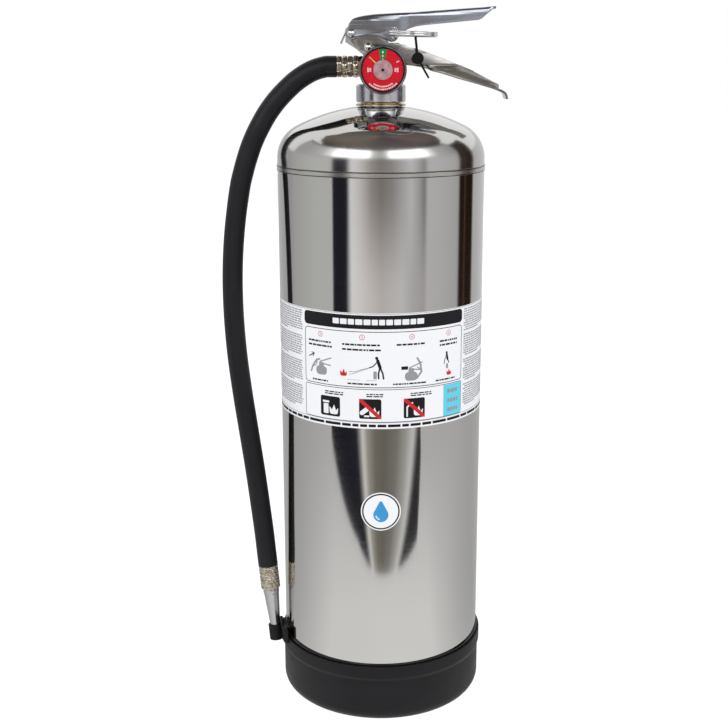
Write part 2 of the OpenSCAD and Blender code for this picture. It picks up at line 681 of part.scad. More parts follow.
barb_r = 5.5;
outlet_x = -block_x - 2.6;
ferrule_x = -37.6 + ferrule_top_len;
module hose_fitting() color("goldenrod") difference() {
    union() {
        translate([outlet_x + 5, 0, V + outlet_z]) rotate([0, -90, 0])
            cylinder(r = 6, h = 6);
        translate([outlet_x, 0, V + outlet_z]) rotate([0, -90, 0])
            cylinder(r = 8.4, h = outlet_x - ferrule_x, $fn = 6);
        translate([outlet_x, 0, V + outlet_z]) rotate([0, -90, 0])
            cylinder(r = barb_r, h = outlet_x - ferrule_x + ferrule_top_len - 1);
    }
    translate([0, 0, V + outlet_z]) rotate([0, -90, 0]) cylinder(r = 3.4, h = far);
}
// Crimped sleeve: rounded rings pressed round the hose's end
module sleeve(len, r, rings) {
    pitch = (len - 2) / rings;
    rotate_extrude() difference() {
        square([r, len]);
        for (i = [0 : rings]) translate([r + 0.55, 1 + i * pitch])
            circle(r = 1.1, $fn = 24);
    }
}
module upper_ferrule() color("silver") translate([ferrule_x, 0, V + outlet_z])
    rotate([0, -90, 0]) difference() {
        sleeve(ferrule_top_len, hose_d / 2 + 0.2, 4);
        translate([0, 0, -1]) cylinder(r = barb_r + fit, h = ferrule_top_len);
    }
module hose() color([0.08, 0.08, 0.08])
    swept_tube(hose_path(hose_route, 3), hose_d / 2, hose_sides, [0, 1, 0]);
module lower_ferrule() color("silver") nozzle_frame()
    translate([0, 0, nozzle_drop - ferrule_low_len]) difference() {
            sleeve(ferrule_low_len, ferrule_low_r, 5);
            translate([0, 0, -1]) cylinder(r = 5, h = 9);
        }
module nozzle() color([0.75, 0.76, 0.78]) nozzle_frame() {
    top = nozzle_drop - ferrule_low_len;
    difference() {
        union() {
            translate([0, 0, nozzle_tip])
                cylinder(r1 = nozzle_r1, r2 = nozzle_r0, h = nozzle_len);
            translate([0, 0, top - 1]) cylinder(r = 5 - fit, h = 8);
        }
        translate([0, 0, nozzle_tip - 1]) cylinder(r = 2, h = 11);
        translate([0, 0, nozzle_tip + 10])
            cylinder(r1 = 2, r2 = 3.8, h = nozzle_len);
    }
}

cylinder_body();
cylinder_dome();
weld_seam();
boot();
holder_strap();
nozzle_holder();
instruction_label();
round_sticker();
neck_ring();
collar_nut();
collar_oring();
valve_body();
siphon_tube();
siphon_nut();
overfill_tube();
spring_seat();
valve_spring();
valve_stem();
stem_seal();
stem_oring();
carry_handle();
handle_rivets();
lever_rivet();
lever();
pull_pin();
pin_ring();
tamper_seal();
gauge_stem();
gauge_case();
bourdon_tube();
gauge_dial();
gauge_needle();
gauge_lens();
hose_fitting();
upper_ferrule();
hose();
lower_ferrule();
nozzle();
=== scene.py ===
"""Looks of a stainless steel water fire extinguisher: one operator for each piece, in metres."""

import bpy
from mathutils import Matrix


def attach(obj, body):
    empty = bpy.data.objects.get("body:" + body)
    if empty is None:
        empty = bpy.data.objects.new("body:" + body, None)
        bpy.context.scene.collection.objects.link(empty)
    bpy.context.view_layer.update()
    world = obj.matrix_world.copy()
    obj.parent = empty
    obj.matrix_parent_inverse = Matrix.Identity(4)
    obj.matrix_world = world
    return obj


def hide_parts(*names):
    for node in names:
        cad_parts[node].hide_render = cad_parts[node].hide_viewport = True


bl_info = {
    "name": "Water Fire Extinguisher",
    "version": (1, 0, 0),
    "blender": (4, 5, 0),
    "location": "View3D > Sidebar > Extinguisher",
    "description": "Builds a stainless steel water extinguisher round its packed CAD frame",
    "category": "Add Mesh",
}

import math
import random

import bmesh
import bpy
from mathutils import Matrix, Vector

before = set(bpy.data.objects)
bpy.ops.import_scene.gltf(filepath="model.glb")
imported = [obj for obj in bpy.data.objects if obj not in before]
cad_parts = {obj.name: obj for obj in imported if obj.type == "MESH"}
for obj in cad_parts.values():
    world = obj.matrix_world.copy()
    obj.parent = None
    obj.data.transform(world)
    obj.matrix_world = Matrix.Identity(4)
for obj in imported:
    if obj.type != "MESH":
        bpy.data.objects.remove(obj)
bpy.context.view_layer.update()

MM = 0.001
TAU = 2 * math.pi
CYL_R = 88.9                    # cylinder's outer radius
SEAM_Z = 480.5                  # middle of the weld band
DOME_BASE = 488.0               # tangent line of the top head
CROWN_R = 160.0
KNUCKLE_R = 30.0
NUT_Z = 534.509                 # collar nut's lower face
GAUGE = (1.6, NUT_Z + 27.0)
PRINT_STRIP = 2.5               # width of the strips that print is cut into
PRINT_LIFT = 0.2                # keeps print clear of the label's facets
UPPER_FERRULE = 18.6            # lengths of the two crimped ferrules
LOWER_FERRULE = 23
NOZZLE_AT = (-97.48, -16, 51)   # a point on the nozzle's axis, inside the cup
NOZZLE_LEAN = 5.2               # degrees
NOZZLE_DROP = 68.783            # lower ferrule's mouth, along the nozzle's axis
NOZZLE_LEN = 49
HOSE_ROUTE = [
    (-37.6, 0, 564), (-46, 0, 564), (-58, 0, 560.5), (-70, 0, 553.5), (-80, 0, 545),
    (-89, -1, 535.5), (-97, -1, 525), (-104, -2, 513), (-109, -2, 503), (-113, -2, 493),
    (-118, -3, 477), (-122, -4, 460), (-127, -5, 426), (-129.5, -7, 391), (-129.5, -9, 356),
    (-127.5, -10, 320), (-123.5, -11, 283), (-118.5, -12, 246), (-113.5, -13, 209),
    (-109, -14, 171), (-106.5, -15, 149), (-104.7, -16, 130), (-103.7, -16, 119.5)]


# ---------------------------------------------------------------- materials

def colour(value):
    return (value[0], value[1], value[2], 1.0)


class Finish:
    """A node material with one Principled shader and patterns on Object coordinates."""

    def __init__(self, name, base, metallic=0.0, roughness=0.5, **sockets):
        self.mat = bpy.data.materials.new(name)
        self.mat.use_nodes = True
        self.tree = self.mat.node_tree
        self.nodes = self.tree.nodes
        self.links = self.tree.links
        self.shader = next(n for n in self.nodes if n.type == "BSDF_PRINCIPLED")
        self.shader.inputs["Base Color"].default_value = colour(base)
        self.shader.inputs["Metallic"].default_value = metallic
        self.shader.inputs["Roughness"].default_value = roughness
        for key, value in sockets.items():
            self.shader.inputs[key.replace("_", " ")].default_value = value
        self.coord = self.nodes.new("ShaderNodeTexCoord")
        self.height = None
        self.mat.diffuse_color = colour(base)

    def node(self, kind, **settings):
        made = self.nodes.new("ShaderNode" + kind)
        for key, value in settings.items():
            setattr(made, key, value)
        return made

    def mapping(self, scale=(1, 1, 1), output="Object", rotation=(0, 0, 0)):
        made = self.node("Mapping")
        made.inputs["Scale"].default_value = scale
        made.inputs["Rotation"].default_value = rotation
        self.links.new(self.coord.outputs[output], made.inputs["Vector"])
        return made.outputs["Vector"]

    def noise(self, scale, vector=None, detail=3.0, roughness=0.55):
        made = self.node("TexNoise")
        made.inputs["Scale"].default_value = scale
        made.inputs["Detail"].default_value = detail
        made.inputs["Roughness"].default_value = roughness
        self.links.new(vector or self.coord.outputs["Object"], made.inputs["Vector"])
        return made.outputs["Fac"]

    def math(self, operation, first, second=None):
        made = self.node("Math", operation=operation)
        for socket, value in zip(made.inputs, (first, second)):
            if value is None:
                continue
            if isinstance(value, (int, float)):
                socket.default_value = value
            else:
                self.links.new(value, socket)
        return made.outputs[0]

    def ramp(self, factor, stops, interpolation="LINEAR"):
        made = self.node("ValToRGB")
        made.color_ramp.interpolation = interpolation
        elements = made.color_ramp.elements
        while len(elements) < len(stops):
            elements.new(0.5)
        for element, (place, value) in zip(elements, stops):
            element.position = place
            if isinstance(value, (int, float)):
                value = (value, value, value)
            element.color = colour(value)
        self.links.new(factor, made.inputs["Fac"])
        return made.outputs["Color"]

    def drive(self, socket, output):
        self.links.new(output, self.shader.inputs[socket])
        return self

    def bump(self, height, strength=0.3, distance=0.0002):
        made = self.node("Bump")
        made.inputs["Strength"].default_value = strength
        made.inputs["Distance"].default_value = distance
        self.links.new(height, made.inputs["Height"])
        if self.height is not None:
            self.links.new(self.height, made.inputs["Normal"])
        self.height = made.outputs["Normal"]
        self.links.new(self.height, self.shader.inputs["Normal"])
        return self

    def axis(self, name):
        made = self.node("SeparateXYZ")
        self.links.new(self.coord.outputs["Object"], made.inputs[0])
        return made.outputs[name]


made_finishes = {}


def finish(maker):
    """Makes a finish once and gives the same material to every piece that asks."""
    key = maker.__name__
    if key not in made_finishes:
        made_finishes[key] = maker().mat
    return made_finishes[key]


def palette():
    return bpy.context.scene.extinguisher_finishes


def cylinder_steel():
    """Stainless sheet, ground round the cylinder and polished, so fine lines run round it."""
    f = Finish("cylinder_steel", palette().steel, 1.0, 0.1, Anisotropic=0.55,
               Anisotropic_Rotation=0.25)
    tangent = f.node("Tangent", direction_type="RADIAL", axis="Z")
    f.links.new(tangent.outputs[0], f.shader.inputs["Tangent"])
    lines = f.noise(1.0, f.mapping((30, 30, 2400)), 2.0)
    cloud = f.noise(9.0, f.mapping((1, 1, 1.6)), 4.0)
    both = f.math("ADD", f.math("MULTIPLY", lines, 0.55), f.math("MULTIPLY", cloud, 0.45))
    f.drive("Roughness", f.ramp(both, [(0.3, 0.05), (0.7, 0.11)]))
    tint = f.ramp(f.noise(5.0, f.mapping((1, 1, 0.5)), 3.0),
                  [(0.3, tuple(0.94 * c for c in palette().steel)), (0.7, palette().steel)])
    f.drive("Base Color", tint)
    return f.bump(lines, 0.1, 0.00002).bump(cloud, 0.02, 0.0006)


def dome_steel():
    """The drawn head: brighter, with faint turning rings."""
    f = Finish("dome_steel", palette().steel, 1.0, 0.05, Anisotropic=0.4,
               Anisotropic_Rotation=0.25)
    tangent = f.node("Tangent", direction_type="RADIAL", axis="Z")
    f.links.new(tangent.outputs[0], f.shader.inputs["Tangent"])
    lines = f.noise(1.0, f.mapping((25, 25, 2600)), 2.0)
    # The knuckle is ground like the cylinder, and the crown above it is mirror bright
    height = f.math("MULTIPLY", f.math("SUBTRACT", f.axis("Z"), 0.478), 18.5)
    wear = f.math("ADD", height, f.math("MULTIPLY", f.math("SUBTRACT", lines, 0.5), 0.25))
    f.drive("Roughness", f.ramp(wear, [(0.0, 0.15), (0.45, 0.17), (0.72, 0.05), (1.0, 0.025)]))
    return f.bump(lines, 0.05, 0.00002).bump(f.noise(14.0), 0.03, 0.0005)


def weld_steel():
    """Weld band: dulled metal, with painted shade as dark lines along its edges that wander a
    little.
    """
    f = Finish("weld_steel", (0.5, 0.48, 0.43), 1.0, 0.25)
    wander = f.math("MULTIPLY", f.noise(60.0, f.mapping((1, 1, 3)), 3.0), 0.0012)
    off = f.math("ADD", f.math("SUBTRACT", f.axis("Z"), SEAM_Z * MM), wander)
    away = f.math("MULTIPLY", f.math("ABSOLUTE", f.math("SUBTRACT", off, 0.0004)), 1000)
    # The dark stops of this ramp are painted shade: the shadow lines where the band's edges meet
    # the cylinder.
    f.drive("Base Color", f.ramp(f.math("DIVIDE", away, 4.0),
            [(0.0, (0.56, 0.55, 0.52)), (0.36, (0.52, 0.5, 0.46)), (0.42, (0.1, 0.09, 0.08)),
             (0.5, (0.02, 0.018, 0.015)), (0.6, (0.3, 0.29, 0.27))]))
    return f.bump(f.noise(900.0), 0.2, 0.0001)


def pressed_steel():
    """Bright stamped sheet of the lever and handle, with long grinding marks."""
    f = Finish("pressed_steel", palette().sheet, 1.0, 0.16, Anisotropic=0.3)
    marks = f.noise(1.0, f.mapping((60, 900, 900)), 3.0)
    smears = f.noise(55.0, f.mapping((0.5, 1, 1)), 4.0)
    f.drive("Roughness", f.ramp(f.math("MULTIPLY", f.math("ADD", marks, smears), 0.5),
            [(0.35, 0.1), (0.65, 0.27)]))
    dull = tuple(0.8 * c for c in palette().sheet)
    f.drive("Base Color", f.ramp(smears, [(0.3, dull), (0.7, palette().sheet)]))
    return f.bump(marks, 0.15, 0.00006).bump(smears, 0.1, 0.0004)


def bright_chrome():
    f = Finish("bright_chrome", (0.82, 0.82, 0.83), 1.0, 0.07)
    f.drive("Roughness", f.ramp(f.noise(300.0), [(0.3, 0.04), (0.8, 0.14)]))
    return f.bump(f.noise(500.0), 0.04, 0.0001)


def dark_chrome():
    """Smoky plating of the gauge's case."""
    f = Finish("dark_chrome", (0.2, 0.2, 0.22), 1.0, 0.12)
    f.drive("Roughness", f.ramp(f.noise(260.0), [(0.3, 0.07), (0.8, 0.2)]))
    return f.bump(f.noise(600.0), 0.05, 0.0001)


def sheet_grey():
    """The handle's stamped sheet: duller and browner than the lever."""
    f = pressed_steel()
    f.mat.name = "sheet_grey"
    f.drive("Base Color", f.ramp(f.noise(40.0, detail=5.0),
            [(0.3, (0.33, 0.32, 0.31)), (0.7, (0.47, 0.46, 0.44))]))
    return f


def satin_nickel():
    """Nickel-plated brass of the nut and valve, cool grey and slightly soft."""
    f = Finish("satin_nickel", (0.6, 0.6, 0.63), 1.0, 0.24)
    f.drive("Roughness", f.ramp(f.noise(180.0), [(0.3, 0.17), (0.75, 0.34)]))
    f.drive("Base Color", f.ramp(f.noise(70.0, detail=5.0),
            [(0.3, (0.52, 0.52, 0.55)), (0.7, (0.66, 0.66, 0.7))]))
    return f.bump(f.noise(1500.0), 0.12, 0.0001)


def crimped_nickel():
    """Warm bright plating of the ferrules, worn to brass in the hollows."""
    f = Finish("crimped_nickel", (0.66, 0.6, 0.48), 1.0, 0.13)
    f.drive("Base Color", f.ramp(f.noise(240.0, detail=4.0),
            [(0.3, (0.3, 0.25, 0.16)), (0.5, (0.52, 0.47, 0.38)), (0.75, (0.75, 0.72, 0.65))]))
    return f.bump(f.noise(900.0), 0.12, 0.0001)


def turned_brass():
    f = Finish("turned_brass", (0.72, 0.5, 0.2), 1.0, 0.2)
    f.drive("Roughness", f.ramp(f.noise(1.0, f.mapping((60, 60, 3000))),
            [(0.3, 0.12), (0.7, 0.3)]))
    return f.bump(f.noise(1.0, f.mapping((40, 40, 4000))), 0.1, 0.00005)


def collar_metals():
    """Neck: a steel flange on the dome below a brass ring."""
    f = turned_brass()
    f.mat.name = "collar_metals"
    place = f.math("MULTIPLY", f.math("SUBTRACT", f.axis("Z"), 0.530), 100)
    steel = (0.58, 0.57, 0.56)
    f.drive("Base Color", f.ramp(place, [(0.0, steel), (0.27, steel), (0.3, (0.3, 0.2, 0.08)),
            (0.33, (0.72, 0.5, 0.2))]))
    return f


def boot_plastic():
    """Black moulded boot: satin, with a fine pebbled skin and rubbed patches."""
    f = Finish("boot_plastic", palette().boot, 0.0, 0.42, Specular_IOR_Level=0.17)
    rub = f.noise(22.0, f.mapping((1, 1, 2.5)), 5.0)
    f.drive("Roughness", f.ramp(rub, [(0.3, 0.34), (0.7, 0.52)]))
    f.drive("Base Color", f.ramp(rub, [(0.3, palette().boot),
            (0.75, tuple(1.5 * c + 0.002 for c in palette().boot))]))
    return f.bump(f.noise(1400.0), 0.1, 0.0001)


def gloss_black():
    f = Finish("gloss_black", (0.006, 0.006, 0.007), 0.0, 0.2, Specular_IOR_Level=0.25)
    f.drive("Roughness", f.ramp(f.noise(90.0), [(0.3, 0.13), (0.75, 0.32)]))
    return f.bump(f.noise(420.0), 0.08, 0.0002)


def moulded_black():
    f = Finish("moulded_black", (0.009, 0.009, 0.01), 0.0, 0.45, Specular_IOR_Level=0.25)
    f.drive("Roughness", f.ramp(f.noise(160.0), [(0.3, 0.32), (0.75, 0.6)]))
    return f.bump(f.noise(1100.0), 0.25, 0.0002)


def wrapped_rubber():
    """Hose rubber that keeps the print of the cloth it was cured in, on the piece's own UV."""
    f = Finish("wrapped_rubber", palette().hose, 0.0, 0.4, Specular_IOR_Level=0.24)
    uv = f.node("SeparateXYZ")
    f.links.new(f.coord.outputs["UV"], uv.inputs[0])
    around = f.math("MULTIPLY", uv.outputs["Y"], 26 * TAU)
    along = f.math("MULTIPLY", uv.outputs["X"], 330 * TAU)
    one = f.math("SINE", f.math("ADD", along, around))
    two = f.math("SINE", f.math("SUBTRACT", along, around))
    weave = f.math("MULTIPLY", f.math("ADD", f.math("MULTIPLY", one, two), 1.0), 0.5)
    f.bump(weave, 0.75, 0.00035)
    patches = f.noise(60.0, detail=4.0)
    f.bump(patches, 0.15, 0.0005)
    f.drive("Roughness", f.ramp(f.math("ADD", f.math("MULTIPLY", weave, 0.5),
            f.math("MULTIPLY", patches, 0.5)), [(0.25, 0.5), (0.75, 0.3)]))
    f.drive("Base Color", f.ramp(weave, [(0.2, tuple(0.6 * c for c in palette().hose)),
            (0.9, tuple(1.7 * c for c in palette().hose))]))
    return f


def label_film():
    f = Finish("label_film", palette().label, 0.0, 0.35)
    f.drive("Roughness", f.ramp(f.noise(40.0), [(0.3, 0.28), (0.75, 0.42)]))
    return f.bump(f.noise(300.0), 0.03, 0.0001)


def ink(name, base, roughness=0.4):
    if name not in made_finishes:
        f = Finish(name, base, 0.0, roughness, Specular_IOR_Level=0.12)
        f.drive("Roughness", f.ramp(f.noise(400.0), [(0.3, roughness - 0.06),
                (0.7, roughness + 0.08)]))
        f.bump(f.noise(1500.0), 0.05, 0.00005)
        made_finishes[name] = f.mat
    return made_finishes[name]


def dial_red():
    f = Finish("dial_red", palette().dial, 0.0, 0.4, Specular_IOR_Level=0.1)
    f.drive("Base Color", f.ramp(f.noise(120.0), [(0.3, palette().dial),
            (0.8, tuple(1.12 * c for c in palette().dial))]))
    return f.bump(f.noise(900.0), 0.05, 0.00005)


def lens_clear():
    """Thin clear lens: light goes straight through, and glances off at low angles."""
    f = Finish("lens_clear", (0.95, 0.96, 0.98), 0.0, 0.04)
    through = f.node("BsdfTransparent")
    mix = f.node("MixShader")
    edge = f.node("Fresnel")
    edge.inputs["IOR"].default_value = 1.12
    out = next(n for n in f.nodes if n.type == "OUTPUT_MATERIAL")
    f.links.new(edge.outputs[0], mix.inputs[0])
    f.links.new(through.outputs[0], mix.inputs[1])
    f.links.new(f.shader.outputs[0], mix.inputs[2])
    f.links.new(mix.outputs[0], out.inputs["Surface"])
    f.shader.inputs["Metallic"].default_value = 1.0
    return f.bump(f.noise(60.0), 0.02, 0.0001)


def hub_frost():
    f = Finish("hub_frost", (0.62, 0.36, 0.38), 0.0, 0.3, Alpha=0.72)
    f.drive("Base Color", f.ramp(f.noise(260.0), [(0.3, (0.5, 0.26, 0.29)),
            (0.7, (0.7, 0.5, 0.52))]))
    return f.bump(f.noise(500.0), 0.1, 0.0001)


def nozzle_metal():
    """Drawn aluminium with marks along the taper."""
    f = Finish("nozzle_metal", (0.5, 0.5, 0.51), 1.0, 0.2)
    marks = f.noise(1.0, f.mapping((1600, 1600, 60)), 2.0)
    f.drive("Roughness", f.ramp(marks, [(0.3, 0.12), (0.7, 0.28)]))
    return f.bump(marks, 0.12, 0.00006)


def tube_white():
    f = Finish("tube_white", (0.8, 0.8, 0.76), 0.0, 0.4, Subsurface_Weight=0.1)
    f.drive("Roughness", f.ramp(f.noise(80.0), [(0.3, 0.35), (0.7, 0.5)]))
    return f.bump(f.noise(700.0), 0.05, 0.0001)


def seal_rubber():
    f = Finish("seal_rubber", (0.02, 0.02, 0.02), 0.0, 0.6)
    f.drive("Roughness", f.ramp(f.noise(500.0), [(0.3, 0.5), (0.7, 0.7)]))
    return f.bump(f.noise(2500.0), 0.2, 0.0001)


# ---------------------------------------------------------------- shaping

def rounded(points, steps=5):
    """Outline of (x, y, corner radius) points with its corners rounded, as (x, y) points."""
    out = []
    for i, (x, y, radius) in enumerate(points):
        here = Vector((x, y))
        a = Vector(points[i - 1][:2]) - here
        b = Vector(points[(i + 1) % len(points)][:2]) - here
        if radius <= 0:
            out.append((x, y))
            continue
        half = a.angle(b) / 2
        reach = min(radius / math.tan(half), a.length * 0.49, b.length * 0.49)
        a.normalize()
        b.normalize()
        centre = here + (a + b).normalized() * (reach / math.cos(half))
        start = here + a * reach - centre
        end = here + b * reach - centre
        first = math.atan2(start.y, start.x)
        turn = (math.atan2(end.y, end.x) - first + math.pi) % TAU - math.pi
        for k in range(steps + 1):
            angle = first + turn * k / steps
            out.append((centre.x + start.length * math.cos(angle),
                        centre.y + start.length * math.sin(angle)))
    return out


def arc_points(cx, cy, radius, first, last, steps):
    return [(cx + radius * math.cos(math.radians(first + (last - first) * k / steps)),
             cy + radius * math.sin(math.radians(first + (last - first) * k / steps)))
            for k in range(steps + 1)]


def revolve(points, steps=96, closed=True, place=None):
    """Spins an outline of (radius, height) points in mm round +Z, then places it."""
    bm = bmesh.new()
    verts = [bm.verts.new((r * MM, 0, z * MM)) for r, z in points]
    edges = [bm.edges.new(pair) for pair in zip(verts, verts[1:])]
    if closed:
        edges.append(bm.edges.new((verts[-1], verts[0])))
    bmesh.ops.spin(bm, geom=verts + edges, cent=(0, 0, 0), axis=(0, 0, 1), angle=TAU,
                   steps=steps, use_merge=True)
    bmesh.ops.remove_doubles(bm, verts=bm.verts, dist=1e-6)
    bmesh.ops.recalc_face_normals(bm, faces=bm.faces)
    if place is not None:
        bmesh.ops.transform(bm, matrix=place, verts=bm.verts)
    return bm


def curve_points(points, steps):
    """Catmull-Rom curve through points."""
    pts = [Vector(p) for p in points]
    last = len(pts) - 1
    out = []
    for i in range(last):
        a, b, c, d = pts[max(i - 1, 0)], pts[i], pts[i + 1], pts[min(i + 2, last)]
        for k in range(steps):
            t = k / steps
            out.append(0.5 * (2 * b + (c - a) * t + (2 * a - 5 * b + 4 * c - d) * t * t
                              + (3 * b - a - 3 * c + d) * t ** 3))
    return out + [pts[last]]


def sweep(path, radius, sides, shape=None, along=None):
    """Tube round a path in mm, from a grid rolled up, with UV along (0 to 1) and around."""
    path = [Vector(p) for p in path]
    count = len(path) - 1
    bm = bmesh.new()
    bmesh.ops.create_grid(bm, x_segments=along or count, y_segments=sides, size=1,
                          calc_uvs=True)
    side = Vector((0, 1, 0))
    if abs((path[-1] - path[0]).normalized().y) > 0.9:
        side = Vector((1, 0, 0))
    for vert in bm.verts:
        place = (vert.co.x + 1) / 2 * count
        i = min(int(place), count - 1)
        rest = place - i
        here = path[i].lerp(path[i + 1], rest)
        before = (path[i] - path[max(i - 1, 0)]) + (path[i + 1] - path[i])
        after = (path[i + 1] - path[i]) + (path[min(i + 2, count)] - path[i + 1])
        course = before.lerp(after, rest).normalized()
        u = course.cross(side).normalized()
        v = u.cross(course)
        angle = (vert.co.y + 1) / 2 * TAU
        wide, thick = shape(place / count, angle) if shape else (radius, radius)
        vert.co = (here + u * wide * math.cos(angle) + v * thick * math.sin(angle)) * MM
    bmesh.ops.remove_doubles(bm, verts=bm.verts, dist=1e-6)
    bmesh.ops.holes_fill(bm, edges=[e for e in bm.edges if e.is_boundary], sides=0)
    bmesh.ops.recalc_face_normals(bm, faces=bm.faces)
    return bm


def soften(bm, width, segments=2, angle=35):
    """Bevels the edges sharper than an angle, width in mm."""
    edges = [e for e in bm.edges if len(e.link_faces) == 2
             and e.calc_face_angle(0) > math.radians(angle)]
    bmesh.ops.bevel(bm, geom=edges, offset=width * MM, offset_type="OFFSET",
                    segments=segments, profile=0.5, affect="EDGES", clamp_overlap=True,
                    material=-1)
    return bm


def piece(name, bm, material, body, replaces=(), angle=32):
    """Turns a bmesh into a smooth piece that rides on a body."""
    mesh = bpy.data.meshes.new(name)
    bm.to_mesh(mesh)
    bm.free()
    mesh.shade_smooth()
    mesh.set_sharp_from_angle(angle=math.radians(angle))
    made = bpy.data.objects.new(name, mesh)
    bpy.context.scene.collection.objects.link(made)
    for one in material if isinstance(material, (list, tuple)) else [material]:
        mesh.materials.append(one)
    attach(made, body)
    if replaces:
        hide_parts(*replaces)
    return made


def repaint(node, material):
    """Gives a CAD node a finish."""
    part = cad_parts[node]
    part.data.materials.clear()
    part.data.materials.append(material)


def cad_copy(node):
    """A merged copy of a CAD node's mesh, with its flat faces whole again."""
    bm = bmesh.new()
    bm.from_mesh(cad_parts[node].data)
    bmesh.ops.remove_doubles(bm, verts=bm.verts, dist=2e-6)
    bmesh.ops.dissolve_limit(bm, angle_limit=math.radians(1.5), use_dissolve_boundaries=False,
                             verts=bm.verts, edges=bm.edges)
    return bm


def cut_levels(bm, axis, low, high, step):
    """Slices a mesh along an axis (0 for X to 2 for Z) at even steps, in mm."""
    place = low
    while place <= high:
        where = Vector((0, 0, 0))
        where[axis] = place * MM
        normal = Vector((0, 0, 0))
        normal[axis] = 1
        bmesh.ops.bisect_plane(bm, geom=bm.verts[:] + bm.edges[:] + bm.faces[:], dist=1e-7,
                               plane_co=where, plane_no=normal)
        place += step


def along_line(line, x):
    """Height of a polyline at x."""
    for (x0, z0), (x1, z1) in zip(line, line[1:]):
        if x <= x1:
            return z0 + (z1 - z0) * (max(x, x0) - x0) / (x1 - x0)
    return line[-1][1]


def bent(node, edge, line, width, radius, side, levels, spans):
    """CAD sheet with its cut edges eased and its two long corners bent round, so that the
    square corner of every layer of the sheet becomes an arc about the bend's own axis."""
    bm = cad_copy(node)
    sharp = []
    for e in bm.edges:
        if len(e.link_faces) == 2 and e.calc_face_angle(0) > math.radians(30):
            here = (e.verts[0].co + e.verts[1].co) / 2 / MM
            deep = side * (along_line(line, here.x) + NUT_Z - here.z)
            if deep > 1.0 or width(here.x) - abs(here.y) > 1.0:
                sharp.append(e)
    bmesh.ops.bevel(bm, geom=sharp, offset=edge * MM, offset_type="OFFSET", segments=2,
                    profile=0.5, affect="EDGES", clamp_overlap=True, material=-1)
    cut_levels(bm, 2, *levels, 0.8)
    for low, high in spans:
        cut_levels(bm, 1, low, high, 0.7)
        cut_levels(bm, 1, -high, -low, 0.7)
    for vert in bm.verts:
        x, y, z = vert.co / MM
        bend = radius(x)
        up = side * (z - NUT_Z - along_line(line, x)) + bend
        out = abs(y) - width(x) + bend
        if bend > 0.1 and up > 0 and out > 0:
            scale = max(up, out) / math.hypot(up, out)
            vert.co.y = math.copysign((width(x) - bend + out * scale) * MM, y)
            vert.co.z = (NUT_Z + along_line(line, x) + side * (up * scale - bend)) * MM
    return bm


def fade(x, low, high):
    return min(1.0, max(0.0, (x - low) / (high - low)))


LEVER_TOP = [(-26.2, 63.5), (-24.4, 67), (-20.6, 69.2), (-14, 70.7), (-3, 72), (14, 72.8),
             (40.7, 74.4), (68, 76.4), (95.6, 78.3), (97, 78.4)]
GRIP_LINE = [(18, 31), (27, 30), (37.6, 28), (43, 25.7), (51.4, 23.7), (66.5, 19),
             (82.6, 14.7), (95, 11), (99, 9.6), (103, 7.8)]
TO_FRONT = Matrix.Rotation(math.radians(90), 4, "X")        # +Z of a flat shape to -Y


def facing(x, y, z):
    """Places a shape drawn in the XY plane so that it faces -Y at a point in mm."""
    return Matrix.Translation(Vector((x, y, z)) * MM) @ TO_FRONT


# ---------------------------------------------------------------- settings

class ExtinguisherSizes(bpy.types.PropertyGroup):
    """Sizes that a user may change without leaving the frame"""
    edge: bpy.props.FloatProperty(
        name="Sheet edge", description="Rounding of the sheet metal's cut edges, in mm",
        default=0.35, min=0.1, max=0.8)
    bend: bpy.props.FloatProperty(
        name="Bend", description="Outer radius of the bends in lever and handle, in mm",
        default=3.2, min=2.0, max=5.0)
    hose_diameter: bpy.props.FloatProperty(
        name="Hose diameter", description="Outer diameter of the hose", default=0.0178,
        min=0.014, max=0.018, subtype="DISTANCE", unit="LENGTH")
    crimps: bpy.props.IntProperty(
        name="Crimp pads", description="Pads pressed round each ferrule", default=8,
        min=6, max=16)
    smoothness: bpy.props.IntProperty(
        name="Smoothness", description="Steps round the cylinder", default=224, min=96,
        max=320)


class ExtinguisherFinishes(bpy.types.PropertyGroup):
    """Colours that a user may change"""
    steel: bpy.props.FloatVectorProperty(
        name="Steel", description="Colour of the cylinder", subtype="COLOR",
        default=(0.6, 0.592, 0.575), min=0, max=1)
    sheet: bpy.props.FloatVectorProperty(
        name="Sheet", description="Colour of lever and handle", subtype="COLOR",
        default=(0.46, 0.485, 0.54), min=0, max=1)
    boot: bpy.props.FloatVectorProperty(
        name="Boot", description="Colour of the boot", subtype="COLOR",
        default=(0.007, 0.007, 0.0085), min=0, max=1)
    hose: bpy.props.FloatVectorProperty(
        name="Hose", description="Colour of the hose", subtype="COLOR",
        default=(0.009, 0.0095, 0.012), min=0, max=1)
    label: bpy.props.FloatVectorProperty(
        name="Label", description="Colour of the label's film", subtype="COLOR",
        default=(0.86, 0.87, 0.9), min=0, max=1)
    dial: bpy.props.FloatVectorProperty(
        name="Dial", description="Colour of the gauge's dial", subtype="COLOR",
        default=(0.66, 0.004, 0.02), min=0, max=1)


# ---------------------------------------------------------------- stage

def angle_ramp(f, centre, stops):
    """Colour by the angle round a point on the floor, from the front towards +X."""
    out = f.node("SeparateXYZ")
    f.links.new(f.coord.outputs["Object"], out.inputs[0])
    back = f.math("MULTIPLY", f.math("SUBTRACT", out.outputs["Y"], centre), -1)
    turn = f.math("ADD", f.math("DIVIDE", f.math("ARCTAN2", out.outputs["X"], back), TAU), 0.5)
    stops = [(0.5 + angle / 360, value) for angle, value in stops]
    return f.ramp(turn, stops), out.outputs


